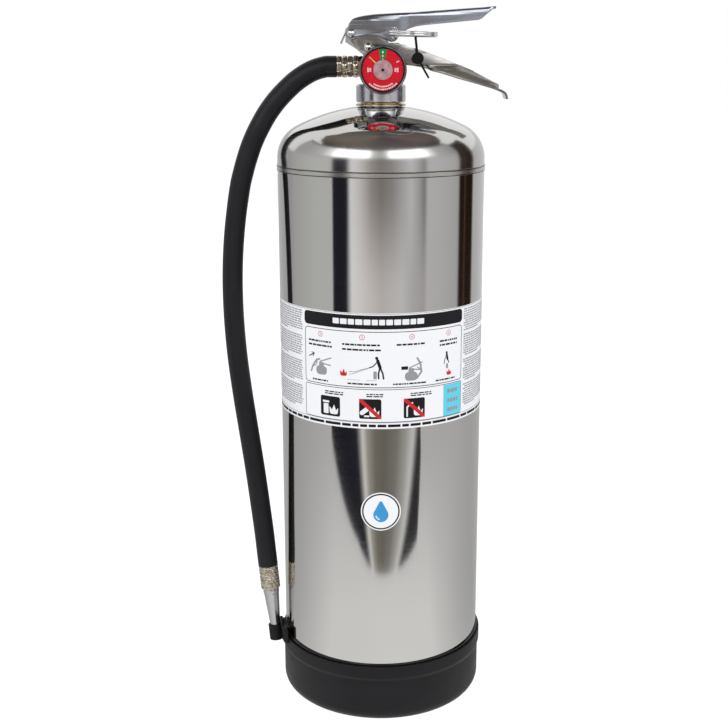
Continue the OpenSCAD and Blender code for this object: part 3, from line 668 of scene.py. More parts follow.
def glow(name, base, strength=1.0, stops=None, more=None, centre=0.0, rise=None):
    """Emission for the studio's panels: one colour, or a ramp by angle that gives way to a
    second one between two heights or, with a third number, two distances."""
    f = Finish(name, (0, 0, 0))
    lamp = f.node("Emission")
    lamp.inputs["Color"].default_value = colour(base)
    lamp.inputs["Strength"].default_value = strength
    if stops:
        first, out = angle_ramp(f, centre, stops)
        if more:
            second, _ = angle_ramp(f, centre, more)
            place = out["Z"]
            if len(rise) > 2:
                length = f.node("VectorMath", operation="LENGTH")
                f.links.new(f.coord.outputs["Object"], length.inputs[0])
                place = length.outputs["Value"]
            ease = f.node("MapRange", clamp=True)
            f.links.new(place, ease.inputs[0])
            ease.inputs[1].default_value, ease.inputs[2].default_value = rise[:2]
            mix = f.node("MixRGB")
            f.links.new(ease.outputs[0], mix.inputs[0])
            f.links.new(first, mix.inputs[1])
            f.links.new(second, mix.inputs[2])
            first = mix.outputs[0]
        f.links.new(first, lamp.inputs["Color"])
    out = next(n for n in f.nodes if n.type == "OUTPUT_MATERIAL")
    f.links.new(lamp.outputs[0], out.inputs["Surface"])
    f.nodes.remove(f.shader)
    return f.mat


def panel(name, first, last, low, high, material, strength=1.0, radius=1.5):
    """Curved studio panel between two angles from the front, seen only in reflections."""
    bm = bmesh.new()
    start = math.radians(first - 90)
    ends = [bm.verts.new((radius * math.cos(start), radius * math.sin(start), z))
            for z in (low, high)]
    edge = bm.edges.new(ends)
    bmesh.ops.spin(bm, geom=ends + [edge], cent=(0, 0, 0), axis=(0, 0, 1),
                   angle=math.radians(last - first), steps=max(2, int((last - first) / 4)))
    if isinstance(material, tuple):
        material = glow(name, material, strength)
    return studio(name, bm, material)


def studio(name, bm, material):
    """A stage piece that only reflections see."""
    mesh = bpy.data.meshes.new(name)
    bm.to_mesh(mesh)
    bm.free()
    mesh.materials.append(material)
    made = bpy.data.objects.new(name, mesh)
    bpy.context.scene.collection.objects.link(made)
    for ray in ("camera", "diffuse", "transmission", "volume_scatter", "shadow"):
        setattr(made, "visible_" + ray, False)
    return made


def sheet_panel(name, corners, z, material):
    bm = bmesh.new()
    bm.faces.new([bm.verts.new((x, y, z)) for x, y in corners])
    if isinstance(material, tuple):
        material = glow(name, material)
    return studio(name, bm, material)


NIGHT = (0.016, 0.015, 0.024)
DOOR = (0.022, 0.012, 0.008)
SIDES_LEFT = [(-180, (0.6, 0.6, 0.62)), (-127, (0.5, 0.5, 0.52)), (-118, (0.44, 0.43, 0.45)),
              (-108, (0.53, 0.53, 0.52)), (-75, (0.65, 0.66, 0.65)), (-53, (0.68, 0.68, 0.67)),
              (-52, NIGHT)]
SIDES_RIGHT = [(51, (0.7, 0.69, 0.7)), (70, (0.65, 0.64, 0.65)), (91, (0.56, 0.55, 0.55)),
               (94.5, DOOR), (101, DOOR), (103, (0.1, 0.05, 0.04)), (105.5, DOOR),
               (117.5, DOOR), (120.5, (0.62, 0.61, 0.6)), (150, (0.7, 0.7, 0.72))]
ROOM_LOW = SIDES_LEFT + [
    (-37, NIGHT), (-31, (1.06, 1.04, 1.06)), (-20, (0.97, 0.93, 0.93)), (0, (0.76, 0.71, 0.7)),
    (22, (0.81, 0.8, 0.8)), (33, (0.64, 0.63, 0.63)), (47, (0.55, 0.53, 0.54))] + SIDES_RIGHT
ROOM_HIGH = SIDES_LEFT + [
    (-36, NIGHT), (-32, (1.0, 0.99, 1.02)), (-22, (0.8, 0.77, 0.77)), (-10, (0.4, 0.37, 0.35)),
    (0, (0.28, 0.25, 0.235)), (12, (0.36, 0.34, 0.34)), (32, (0.74, 0.74, 0.76)),
    (41, (0.52, 0.5, 0.51)), (47, (0.27, 0.26, 0.27))] + SIDES_RIGHT
FLOOR_ROOM = [(-80, NIGHT), (-38, NIGHT), (-34, (0.3, 0.29, 0.29)), (-29, (0.95, 0.93, 0.9)),
              (-22, (0.46, 0.43, 0.39)), (-10, (0.24, 0.225, 0.19)), (5, (0.2, 0.185, 0.16)),
              (25, (0.27, 0.255, 0.235)), (40, (0.5, 0.49, 0.46)), (50, (0.85, 0.85, 0.84)),
              (54, (0.3, 0.29, 0.3)), (57, (0.03, 0.03, 0.035)), (80, (0.03, 0.03, 0.035))]
LAMPS = [(-180, 0.2), (-110, 0.17), (-88, 0.2), (-70, 0.26), (-57, 0.5), (-52, 1.0), (-15, 1.0),
         (-9, 0.3), (0, 0.22), (6, 0.3), (11, 1.0), (49, 1.0), (57, 0.5), (66, 0.24),
         (92, 0.15)]
LAMP_FEET = [(-180, 0.2), (-110, 0.18), (-75, 0.22), (-55, 0.2), (-48, 0.05), (-38, 0.06),
             (-32, 0.36), (-18, 0.3), (0, 0.12), (14, 0.26), (33, 0.36), (46, 0.22),
             (60, 0.24), (92, 0.19)]
CEILING_NEAR = [(-180, (0.13, 0.12, 0.11)), (-75, (0.23, 0.2, 0.17)), (-35, (0.2, 0.175, 0.15)),
                (0, (0.13, 0.11, 0.105)), (40, (0.13, 0.105, 0.11)), (75, (0.2, 0.155, 0.15)),
                (180, (0.11, 0.1, 0.1))]
CEILING_FAR = [(-180, (0.08, 0.07, 0.06)), (-80, (0.03, 0.025, 0.02)), (-60, (0.06, 0.05, 0.045)),
               (-30, (0.1, 0.095, 0.09)), (0, (0.15, 0.145, 0.14)), (30, (0.12, 0.11, 0.12)),
               (60, (0.06, 0.05, 0.06)), (90, (0.035, 0.025, 0.025)), (180, (0.08, 0.07, 0.06))]
PAPER_NEAR = [(-180, 0.5), (-122, 0.5), (-100, 0.58), (-71, 0.76), (-50, 0.93), (0, 0.96),
              (50, 0.95), (62, 0.83), (75, 0.75), (88, 0.65), (103, 0.58), (122, 0.5),
              (180, 0.5)]
PAPER_FAR = [(-180, 0.5), (-110, 0.52), (-71, 0.63), (-52, 0.68), (0, 0.7), (46, 0.66),
             (88, 0.63), (122, 0.54), (180, 0.5)]


class EXTINGUISHER_OT_stage(bpy.types.Operator):
    """Camera, white floor, white surroundings and the dark gaps between soft panels"""
    bl_idname = "extinguisher.stage"
    bl_label = "Stage"

    def execute(self, context):
        scene = context.scene
        lens = bpy.data.cameras.new("camera")
        lens.lens = 60.95
        lens.sensor_width = 36
        lens.shift_x = -0.0232
        camera = bpy.data.objects.new("camera", lens)
        camera.location = (0, -1.0725, 0.5691)
        camera.rotation_euler = (math.radians(76.16), 0, 0)
        scene.collection.objects.link(camera)
        scene.camera = camera

        world = bpy.data.worlds.new("white_room")
        world.use_nodes = True
        sky = next(n for n in world.node_tree.nodes if n.type == "BACKGROUND")
        sky.inputs["Color"].default_value = (1, 1, 1, 1)
        sky.inputs["Strength"].default_value = 1.0
        scene.world = world
        scene.view_settings.view_transform = "Standard"
        scene.view_settings.look = "None"

        bm = bmesh.new()
        bmesh.ops.create_grid(bm, x_segments=1, y_segments=1, size=4.0)
        mesh = bpy.data.meshes.new("floor")
        bm.to_mesh(mesh)
        bm.free()
        floor = bpy.data.objects.new("floor", mesh)
        scene.collection.objects.link(floor)
        paper = Finish("white_paper", (0.12, 0.12, 0.12), 0.0, 0.9, Emission_Strength=1.0)
        paper.shader.inputs["Emission Color"].default_value = (1, 1, 1, 1)
        paper.bump(paper.noise(50.0), 0.02, 0.0005)
        mesh.materials.append(paper.mat)

        # Panels by angle from the front, towards +X: dark gaps show as bands in the steel
        room = glow("room", (1, 1, 1), 1.0, ROOM_LOW, ROOM_HIGH, rise=(0.13, 0.306))
        panel("room_wall", -179, 179, 0, 0.85, room)
        # Above eye level: grey walls with two soft lamps, and a dim ceiling
        lamps = glow("lamps", (1, 1, 1), 2.6, LAMP_FEET, LAMPS, rise=(0.9, 1.06))
        panel("lamp_wall", -112, 94, 0.85, 1.76, lamps)
        panel("lamp_wall_top", -112, 94, 1.76, 1.86, (0.09, 0.08, 0.08))
        panel("upper_right_gap", 94, 119, 0.85, 1.6, (0.035, 0.022, 0.016))
        curve = [(1.5 * math.sin(math.radians(a)), -1.5 * math.cos(math.radians(a)))
                 for a in range(-84, 85, 12)]
        curve += [(1.35, 0.1), (0.95, 0.4), (0.5, 0.66), (0.0, 0.78), (-0.35, 0.66),
                  (-0.6, 0.45), (-0.85, 0.5), (-1.25, 0.2)]
        dim = glow("dim_ceiling", (1, 1, 1), 1.0, CEILING_NEAR, CEILING_FAR,
                   rise=(2.0, 2.35, 1))
        sheet_panel("ceiling_gap", curve, 1.86, dim)
        # The white paper is duller beside the cylinder, and ends in front of it
        paper = glow("paper_shine", (1, 1, 1), 1.0, PAPER_NEAR, PAPER_FAR, rise=(0.3, 0.85, 1))
        ring = [(1.5 * math.sin(TAU * k / 48), -1.5 * math.cos(TAU * k / 48))
                for k in range(48)]
        sheet_panel("paper_shine", ring, 0.0006, paper)
        dark = glow("room_floor", (1, 1, 1), 1.0, FLOOR_ROOM, centre=-0.31)
        sheet_panel("room_floor", [
            (-1.26, -0.86), (-0.76, -0.525), (-0.21, -0.462), (-0.125, -0.432),
            (-0.06, -0.414), (0, -0.408), (0.07, -0.406), (0.16, -0.4), (0.25, -0.394),
            (0.316, -0.394), (0.6, -0.618), (1.0, -1.12), (0.5, -1.42), (-0.5, -1.42)],
            0.002, dark)
        return {"FINISHED"}


# ---------------------------------------------------------------- cord

def ferrule(length, radius, bore, rings, pads):
    """Sleeve crimped by jaws: bands of pads pressed round it, standing along +Z."""
    steps = pads * 6
    rows = rings * 8
    outline = [(bore, 0)] + [(radius, length * k / rows) for k in range(rows + 1)]
    outline.append((bore, length))
    bm = revolve(outline, steps)
    pitch = length / rings
    for vert in bm.verts:
        out = math.hypot(vert.co.x, vert.co.y)
        if out < (bore + 0.3) * MM:
            continue
        row = abs(math.sin(math.pi * vert.co.z / MM / pitch)) ** 0.4
        around = math.atan2(vert.co.y, vert.co.x) * pads + int(vert.co.z / MM / pitch) * 3
        pad = 0.5 + 0.5 * math.cos(around)
        rise = (radius - 0.95 + 0.95 * row * (0.5 + 0.5 * min(1, 1.5 * pad))) * MM
        vert.co.x *= rise / out
        vert.co.y *= rise / out
    return bm


class EXTINGUISHER_OT_hose(bpy.types.Operator):
    """Hose with its two crimped ferrules and its nozzle"""
    bl_idname = "extinguisher.hose"
    bl_label = "Hose and nozzle"

    def execute(self, context):
        sizes = context.scene.extinguisher_sizes
        inner = curve_points(HOSE_ROUTE, 8)[8:-8]
        path = [Vector(HOSE_ROUTE[0])] + inner + [Vector(HOSE_ROUTE[-1])]
        radius = sizes.hose_diameter / 2 / MM
        hose = piece("hose_rubber", sweep(path, radius, 48, along=len(path) * 2 - 2),
                     finish(wrapped_rubber), "root", ["hose"], 60)

        outlet = Vector((-19.0, 0, NUT_Z + 29.5)) * MM
        turn = Matrix.Translation(outlet) @ Matrix.Rotation(math.radians(-90), 4, "Y")
        bm = ferrule(UPPER_FERRULE, 9.1, 5.6, 4, sizes.crimps)
        bmesh.ops.transform(bm, matrix=turn, verts=bm.verts)
        upper = piece("upper_crimp", bm, finish(crimped_nickel), "root", ["upper_ferrule"],
                      50)

        lean = Matrix.Translation(Vector(NOZZLE_AT) * MM) \
            @ Matrix.Rotation(math.radians(-NOZZLE_LEAN), 4, "Y")
        top = NOZZLE_DROP - LOWER_FERRULE
        bm = ferrule(LOWER_FERRULE, 8.9, 5.1, 7, sizes.crimps * 2)
        bmesh.ops.transform(bm, matrix=lean @ Matrix.Translation((0, 0, top * MM)),
                            verts=bm.verts)
        lower = piece("lower_crimp", bm, finish(crimped_nickel), "root", ["lower_ferrule"],
                      50)
        tip = top - NOZZLE_LEN
        outline = rounded([(2.0, tip, 0.4), (3.7, tip, 0.7), (4.0, tip + 4, 0),
                           (6.95, tip + 44, 0.5), (7.3, tip + 45, 0.4), (7.3, top - 0.1, 0.4),
                           (4.9, top - 0.1, 0), (4.9, top + 6.8, 0), (3.6, top + 6.8, 0),
                           (2.0, tip + 11, 0)], 4)
        nozzle = piece("nozzle_cone", revolve(outline, 64, place=lean), finish(nozzle_metal),
                       "root", ["nozzle"])
        return {"FINISHED"}


# ---------------------------------------------------------------- cylinder

def head_profile(inset):
    """Dished head from its tangent line to the axis, as (radius, height) points."""
    lean = 90 - math.degrees(math.asin((CYL_R - KNUCKLE_R) / (CROWN_R - KNUCKLE_R)))
    rise = CROWN_R - math.sqrt((CROWN_R - KNUCKLE_R) ** 2 - (CYL_R - KNUCKLE_R) ** 2)
    knuckle = arc_points(CYL_R - KNUCKLE_R, 0, KNUCKLE_R - inset, 0, lean, 20)
    crown = arc_points(0, rise - CROWN_R, CROWN_R - inset, lean, 90, 24)
    return knuckle + crown[1:]


class EXTINGUISHER_OT_cylinder(bpy.types.Operator):
    """Steel body, drawn head and weld band"""
    bl_idname = "extinguisher.cylinder"
    bl_label = "Cylinder"

    def execute(self, context):
        steps = context.scene.extinguisher_sizes.smoothness
        wall = 1.2
        low = 4 + 160 - math.sqrt(130 ** 2 - 58.9 ** 2)
        outer = [(r, low - z) for r, z in head_profile(0)]
        inner = [(r, low - z) for r, z in head_profile(wall)]
        levels = [low + (SEAM_Z - low) * k / 12 for k in range(1, 13)]
        outline = [(CYL_R, z) for z in reversed(levels)] + outer + list(reversed(inner)) \
            + [(CYL_R - wall, z) for z in levels]
        piece("steel_body", revolve(outline, steps), finish(cylinder_steel), "root",
              ["cylinder_body"], 40)

        outer = [(r, z + DOME_BASE) for r, z in head_profile(0) if r > 17.4]
        inner = [(r, z + DOME_BASE) for r, z in head_profile(wall) if r > 17.4]
        ends = [(17.35, outer[-1][1] + 0.2), (17.35, inner[-1][1] + 0.2)]
        outline = [(CYL_R - wall, SEAM_Z), (CYL_R, SEAM_Z)] + outer + ends \
            + list(reversed(inner))
        piece("steel_head", revolve(outline, steps), finish(dome_steel), "root",
              ["cylinder_dome"], 40)

        half = 2.5
        band = rounded([(CYL_R + 0.02, SEAM_Z - half, 0), (CYL_R + 0.5, SEAM_Z - half, 0.35),
                        (CYL_R + 0.38, SEAM_Z, 4), (CYL_R + 0.5, SEAM_Z + half, 0.35),
                        (CYL_R + 0.02, SEAM_Z + half, 0)], 4)
        piece("weld_band", revolve(band, steps), finish(weld_steel), "root", ["weld_seam"])
        return {"FINISHED"}


class EXTINGUISHER_OT_boot(bpy.types.Operator):
    """Moulded boot, the strap in its rim and the cup that holds the nozzle"""
    bl_idname = "extinguisher.boot"
    bl_label = "Boot and holder"

    def execute(self, context):
        outline = rounded([
            (0, 0, 0), (90.7, 0, 12), (90.7, 41, 3), (92.0, 44, 2), (92.0, 55, 0.7),
            (90.3, 55, 0.4), (90.3, 45, 0.3), (89.0, 43, 0.5), (89.0, 3, 10), (0, 3, 0)], 8)
        piece("boot_shell", revolve(outline, 192), finish(boot_plastic), "root", ["boot"])
        repaint("holder_strap", finish(gloss_black))
        piece("holder_cup", soften(cad_copy("nozzle_holder"), 0.3, 2, 40),
              finish(moulded_black), "root", ["nozzle_holder"], 40)
        return {"FINISHED"}


# ---------------------------------------------------------------- labels

class Print:
    """Flat shapes drawn in mm, wrapped on the cylinder as thin ink."""

    def __init__(self, lift):
        self.bm = bmesh.new()
        self.lift = lift

    def shape(self, points):
        self.bm.faces.new([self.bm.verts.new((x, y, 0)) for x, y in points])

    def bar(self, x0, y0, x1, y1, corner=0.0):
        box = [(x0, y0, corner), (x1, y0, corner), (x1, y1, corner), (x0, y1, corner)]
        self.shape(rounded(box, 4))

    def disc(self, x, y, radius, steps=20):
        self.shape(arc_points(x, y, radius, 0, 360 - 360 / steps, steps - 1))

    def stroke(self, points, width):
        """Line of round-ended strokes."""
        for (x0, y0), (x1, y1) in zip(points, points[1:]):
            heading = math.degrees(math.atan2(y1 - y0, x1 - x0))
            self.shape(arc_points(x0, y0, width / 2, heading + 90, heading + 270, 6)
                       + arc_points(x1, y1, width / 2, heading - 90, heading + 90, 6))

    def ring(self, x, y, radius, width, steps=24):
        for k in range(steps):
            a = arc_points(x, y, radius - width / 2, 360 * k / steps, 360 * (k + 1) / steps, 1)
            b = arc_points(x, y, radius + width / 2, 360 * k / steps, 360 * (k + 1) / steps, 1)
            self.shape(a + b[::-1])

    def frame(self, x0, y0, x1, y1, width, corner):
        """Rounded frame drawn as strokes."""
        line = rounded([(x0, y0, corner), (x1, y0, corner), (x1, y1, corner),
                        (x0, y1, corner)], 4)
        self.stroke(line + line[:1], width)

    def flame(self, x, y, size):
        self.shape(rounded([
            (x - 0.5 * size, y, 0.25 * size), (x + 0.5 * size, y, 0.25 * size),
            (x + 0.55 * size, y + 0.75 * size, 0), (x + 0.28 * size, y + 0.45 * size, 0),
            (x + 0.05 * size, y + 1.1 * size, 0), (x - 0.22 * size, y + 0.5 * size, 0),
            (x - 0.55 * size, y + 0.85 * size, 0)], 3))

    def wrap(self, name, material):
        """Cuts the shapes into narrow strips and bends them round the cylinder."""
        bm = self.bm
        xs = [v.co.x for v in bm.verts]
        place = math.ceil(min(xs) / PRINT_STRIP) * PRINT_STRIP
        while place < max(xs):
            bmesh.ops.bisect_plane(bm, geom=bm.verts[:] + bm.edges[:] + bm.faces[:],
                                   dist=1e-5, plane_co=(place, 0, 0), plane_no=(1, 0, 0))
            place += PRINT_STRIP
        for vert in bm.verts:
            angle = vert.co.x / CYL_R
            radius = CYL_R + PRINT_LIFT + self.lift
            vert.co = Vector((radius * math.sin(angle), -radius * math.cos(angle),
                              vert.co.y)) * MM
        for face in bm.faces:
            face.normal_update()
            middle = face.calc_center_median()
            if face.normal.dot(Vector((middle.x, middle.y, 0))) < 0:
                face.normal_flip()
        return piece(name, bm, material, "root")


class EXTINGUISHER_OT_label(bpy.types.Operator):
    """Instruction label: panels, numbered steps, plain pictograms and bars for words"""
    bl_idname = "extinguisher.label"
    bl_label = "Instruction label"

    def words(self, page, rng, x0, x1, y, height):
        """A row of bars as long as words."""
        x = x0
        while x < x1 - 0.8:
            long = min(rng.uniform(1.2, 5.2), x1 - x)
            page.bar(x, y, x + long, y + height)
            x += long + rng.uniform(0.5, 0.9)

    def execute(self, context):
        rng = random.Random(7)
        repaint("instruction_label", finish(label_film))
        black = ink("ink_black", (0.012, 0.012, 0.014), 0.32)
        grey = ink("ink_grey", (0.3, 0.3, 0.32))
        red = ink("ink_red", (0.62, 0.015, 0.02))
        blue = ink("ink_blue", (0.12, 0.62, 0.8))
        pale = ink("ink_pale", (0.82, 0.83, 0.86))

        page = Print(0.03)
        page.bar(-71, 355.8, 77.5, 367.2, 3.2)
        page.frame(-70.2, 306.5, 77, 353.4, 0.55, 3.0)
        page.frame(-70.2, 276.9, 77, 304.8, 0.45, 1.5)
        page.bar(-178, 368.2, 178, 368.45)
        page.bar(-178, 276.2, 178, 276.45)
        for x in (-53.2, -15.5, 25.9, 61.0):
            page.stroke([(x - 0.35, 348.9), (x + 0.1, 349.5), (x + 0.1, 348.2)], 0.35)
        # Step captions, as bars of bold words
        for x0, x1, rows in ((-66, -42, (341.6, 338.0)), (-32.6, 0.6, (341.4, 337.2)),
                             (13, 38.2, (341.6,)), (51.6, 71, (341.6, 338.2))):
            for y in rows:
                self.words(page, rng, x0, x1, y + 0.3, 1.5)
        for x0, x1 in ((-62, -46), (-28, -3), (10, 39), (48, 69)):
            self.words(page, rng, x0, x1, 308.7, 1.3)
        # Pictograms: a person aims a hose, a hand on a lever, a person sweeps
        page.disc(-3.4, 331.6, 1.3)
        page.stroke([(-2.6, 329.4), (-0.6, 323.6)], 2.6)
        page.stroke([(-2.8, 328.6), (-6.4, 324.6), (-9.6, 323.4)], 0.9)
        page.stroke([(-0.8, 323.4), (-2.0, 318.2), (-1.8, 314.4)], 1.3)
        page.stroke([(-0.4, 323.4), (1.6, 318.6), (2.2, 314.2)], 1.3)
        page.disc(59.2, 332.2, 1.0)
        page.stroke([(59.2, 330.6), (60.2, 326.4)], 2.0)
        page.stroke([(59.0, 329.8), (57.2, 326.6), (56.6, 323.0)], 0.7)
        page.stroke([(60.2, 326.4), (61.6, 323.4)], 0.9)
        page.stroke([(-65.6, 328.6), (-60.0, 331.6), (-62.8, 332.2)], 0.8)
        page.stroke([(-60.0, 331.6), (-61.4, 329.0)], 0.8)
        page.bar(17.0, 321.4, 22.6, 324.2)
        for x in (-53.2 + 9, -17.9 + 9, 19.4 + 9):
            page.bar(x - 9.3, 279.6, x + 9.3, 296.6, 1.6)
        for x0, x1 in ((-49, -32), (-12, 2), (25, 44)):
            for y in (300.2, 298.4):
                self.words(page, rng, x0, x1, y, 1.0)
        page.wrap("label_black", black)

        page = Print(0.03)
        for x0, x1 in ((-121, -73.6), (80.2, 128), (-176, -124), (131, 177)):
            for row in range(44):
                y = 365.4 - row * 1.98
                if y < 280 or row % 11 == 10:
                    continue
                indent = rng.choice((0, 0, 0, 2.4)) if row % 11 else 0
                end = x1 - rng.uniform(0, 2.2) if row % 11 != 9 else x1 - rng.uniform(10, 30)
                self.words(page, rng, x0 + indent, end, y, 1.05)
        page.stroke([(-26.5, 319.6), (-22, 319.4), (-16, 321.6), (-10.4, 323.2)], 0.5)
        page.stroke([(-26.5, 317.2), (-22, 318.2), (-16, 320.8), (-10.4, 322.8)], 0.4)
        page.stroke([(-28.0, 312.6), (-17.5, 312.6)], 0.3)
        page.stroke([(-12.0, 312.6), (-3.6, 312.6)], 0.3)
        for x, y in ((-52.5, 314.2), (25.4, 311.8)):
            page.bar(x - 5.4, y, x + 5.4, y + 7.4, 3.0)
            page.bar(x - 2.4, y + 6.4, x + 2.4, y + 10.6, 1.0)
            page.stroke([(x - 1.5, y + 11.0), (x + 9.5, y + 15.2)], 1.0)
            page.stroke([(x - 0.5, y + 9.8), (x + 9.0, y + 8.8)], 1.0)
        page.stroke([(-63.6, 316.0), (-61.4, 321.2), (-57.4, 326.4), (-54.4, 327.2)], 1.5)
        page.stroke([(-62.0, 320.0), (-58.6, 321.6), (-56.8, 325.0)], 0.9)
        page.stroke([(30.4, 313.6), (34.4, 318.8), (33.4, 326.0), (30.6, 330.6)], 1.6)
        page.stroke([(34.0, 320.6), (30.6, 323.0)], 0.9)
        page.bar(-6.2, 313.8, -3.4, 320.4, 0.8)
        page.bar(58.6, 318.4, 60.8, 322.6, 0.6)
        page.wrap("label_grey", grey)

        page = Print(0.03)
        for x in (-53.2, -15.5, 25.9, 61.0):
            page.ring(x, 348.9, 2.1, 0.42)
        page.flame(-31.6, 315.4, 5.6)
        page.flame(61.8, 312.6, 4.8)
        page.wrap("label_red", red)

        page = Print(0.06)
        page.bar(56.2, 277.1, 76.6, 304.2)
        page.wrap("label_blue", blue)
        page = Print(0.09)
        for y in (296.8, 288.6, 280.6):
            self.words(page, rng, 60.4, 72.6, y, 3.2)
        page.wrap("label_blue_words", grey)

        page = Print(0.06)
        x = -41.0
        for _ in range(12):
            long = rng.uniform(4.8, 6.2)
            page.bar(x, 359.3, x + long, 363.9, 0.5)
            x += long + 1.0
        for x, kind in ((-44.2, 0), (-8.9, 1), (28.4, 2)):
            page.flame(x + 3.4, 281.4, 7.6)
            if kind == 0:
                page.bar(x - 6.4, 281.4, x - 1.6, 290.0, 0.6)
                page.bar(x - 7.2, 290.8, x - 0.8, 292.6, 0.6)
            elif kind == 1:
                page.stroke([(x - 7.0, 284.6), (x - 2.6, 288.0)], 3.8)
                page.bar(x - 5.2, 281.2, x - 0.6, 282.6, 0.4)
            else:
                page.stroke([(x - 6.4, 281.4), (x - 6.4, 289.4), (x - 1.8, 292.6)], 1.3)
        page.wrap("label_white", pale)

        page = Print(0.1)
        for x in (-8.9, 28.4):
            page.shape([(x - 9.3, 294.6), (x + 6.9, 279.6), (x + 9.3, 279.6),
                        (x + 9.3, 281.6), (x - 6.9, 296.6), (x - 9.3, 296.6)])
        page.wrap("label_bars", red)

        page = Print(0.03)
        x = -176.0
        while x < 174:
            long = rng.uniform(5.0, 17.0)
            page.bar(x, 272.5, min(x + long, 176), 274.8, 0.6)
            x += long + 1.3
        page.wrap("label_caution_line", black)
        return {"FINISHED"}


class EXTINGUISHER_OT_sticker(bpy.types.Operator):
    """Round sticker with a plain water drop"""
    bl_idname = "extinguisher.sticker"
    bl_label = "Round sticker"

    def execute(self, context):
        repaint("round_sticker", finish(label_film))
        page = Print(0.03)
        page.ring(0, 198, 15.4, 1.2, 48)
        page.wrap("sticker_ring", ink("ink_black", (0.012, 0.012, 0.014), 0.32))
        page = Print(0.03)
        drop = arc_points(0, 195, 6.4, -205, 25, 20) + [(0.9, 207.2), (-0.9, 207.2)]
        page.shape(drop)
        page.wrap("sticker_drop", ink("ink_drop", (0.05, 0.3, 0.62)))
        page = Print(0.06)
        page.stroke([(x, y) for x, y in arc_points(0, 195, 4.2, 195, 250, 5)], 1.1)
        page.wrap("sticker_glint", ink("ink_pale", (0.82, 0.83, 0.86)))
        return {"FINISHED"}


# ---------------------------------------------------------------- valve

class EXTINGUISHER_OT_collar(bpy.types.Operator):
    """Collar nut with its spanner slots, neck, valve body and hose fitting"""
    bl_idname = "extinguisher.collar"
    bl_label = "Collar and valve"

    def execute(self, context):
        outline = rounded([
            (16.55, 0, 0), (20.0, 0, 0.4), (21.0, 1.2, 0.8), (21.0, 4, 0), (21.0, 11, 0),
            (21.0, 13.6, 0.8), (19.8, 15, 0.6), (13.15, 15, 0.3), (13.15, 11.5, 0),
            (16.55, 11.5, 0)], 4)
        bm = revolve(outline, 240)
        for vert in bm.verts:
            out = math.hypot(vert.co.x, vert.co.y) / MM
            angle = math.degrees(math.atan2(vert.co.y, vert.co.x))
            off = abs((angle - 45 + 45) % 90 - 45)
            if out > 18.6 and off < 4.6:
                vert.co.x *= 18.6 / out
                vert.co.y *= 18.6 / out
        bmesh.ops.translate(bm, vec=(0, 0, NUT_Z * MM), verts=bm.verts)
        piece("nut_ring", bm, finish(satin_nickel), "root", ["collar_nut"], 28)
        outline = rounded([
            (12.6, 523.6, 0), (17.2, 523.6, 0), (17.2, 531.0, 0), (21.2, 531.0, 0.5),
            (21.3, 532.6, 0.7), (18.6, 533.2, 0.3), (17.3, 533.5, 0.2), (17.3, 534.3, 0.2),
            (16.5, 534.4, 0), (16.5, 541.0, 0.3), (12.6, 541.0, 0.2)], 3)
        flat = 160 - math.sqrt(160 ** 2 - 17.3 ** 2)
        base = DOME_BASE + 44.109 - flat
        outline = [(r, z + base - 530.567 if z < 533 else z) for r, z in outline]
        piece("neck_metals", revolve(outline, 128), finish(collar_metals), "root",
              ["neck_ring"])
        repaint("valve_body", finish(satin_nickel))
        repaint("hose_fitting", finish(turned_brass))
        repaint("gauge_stem", finish(turned_brass))
        return {"FINISHED"}


class EXTINGUISHER_OT_lever(bpy.types.Operator):
    """Squeeze lever, pressed from sheet"""
    bl_idname = "extinguisher.lever"
    bl_label = "Lever"

    def execute(self, context):
        sizes = context.scene.extinguisher_sizes
        bm = bent("lever", sizes.edge, LEVER_TOP, lambda x: 14.4 - 2 * fade(x, 14.5, 24),
                  lambda x: sizes.bend * fade(x, -26, -20) * (1 - fade(x, 88, 96)), 1,
                  (NUT_Z + 60, NUT_Z + 79), [(8.4, 14.4)])
        piece("lever_sheet", bm, finish(pressed_steel), "lever_arm", ["lever"],
              35)
        return {"FINISHED"}


class EXTINGUISHER_OT_handle(bpy.types.Operator):
    """Carry handle, pressed from sheet, and the rivets"""
    bl_idname = "extinguisher.handle"
    bl_label = "Handle and rivets"

    def execute(self, context):
        sizes = context.scene.extinguisher_sizes
        bm = bent("carry_handle", sizes.edge, GRIP_LINE, lambda x: 12.1,
                  lambda x: sizes.bend * fade(x, 18, 26) * (1 - fade(x, 92, 99)), -1,
                  (NUT_Z + 9, NUT_Z + 36), [(8.6, 12.1)])
        piece("handle_sheet", bm, finish(sheet_grey), "root", ["carry_handle"],
              35)
        repaint("handle_rivets", finish(bright_chrome))
        repaint("lever_rivet", finish(bright_chrome))
        return {"FINISHED"}


class EXTINGUISHER_OT_pin(bpy.types.Operator):
    """Safety pin, split ring and tamper seal"""
    bl_idname = "extinguisher.pin"
    bl_label = "Pin, ring and seal"

    def execute(self, context):
        repaint("pull_pin", finish(bright_chrome))
        repaint("pin_ring", finish(bright_chrome))
        repaint("tamper_seal", finish(gloss_black))
        return {"FINISHED"}


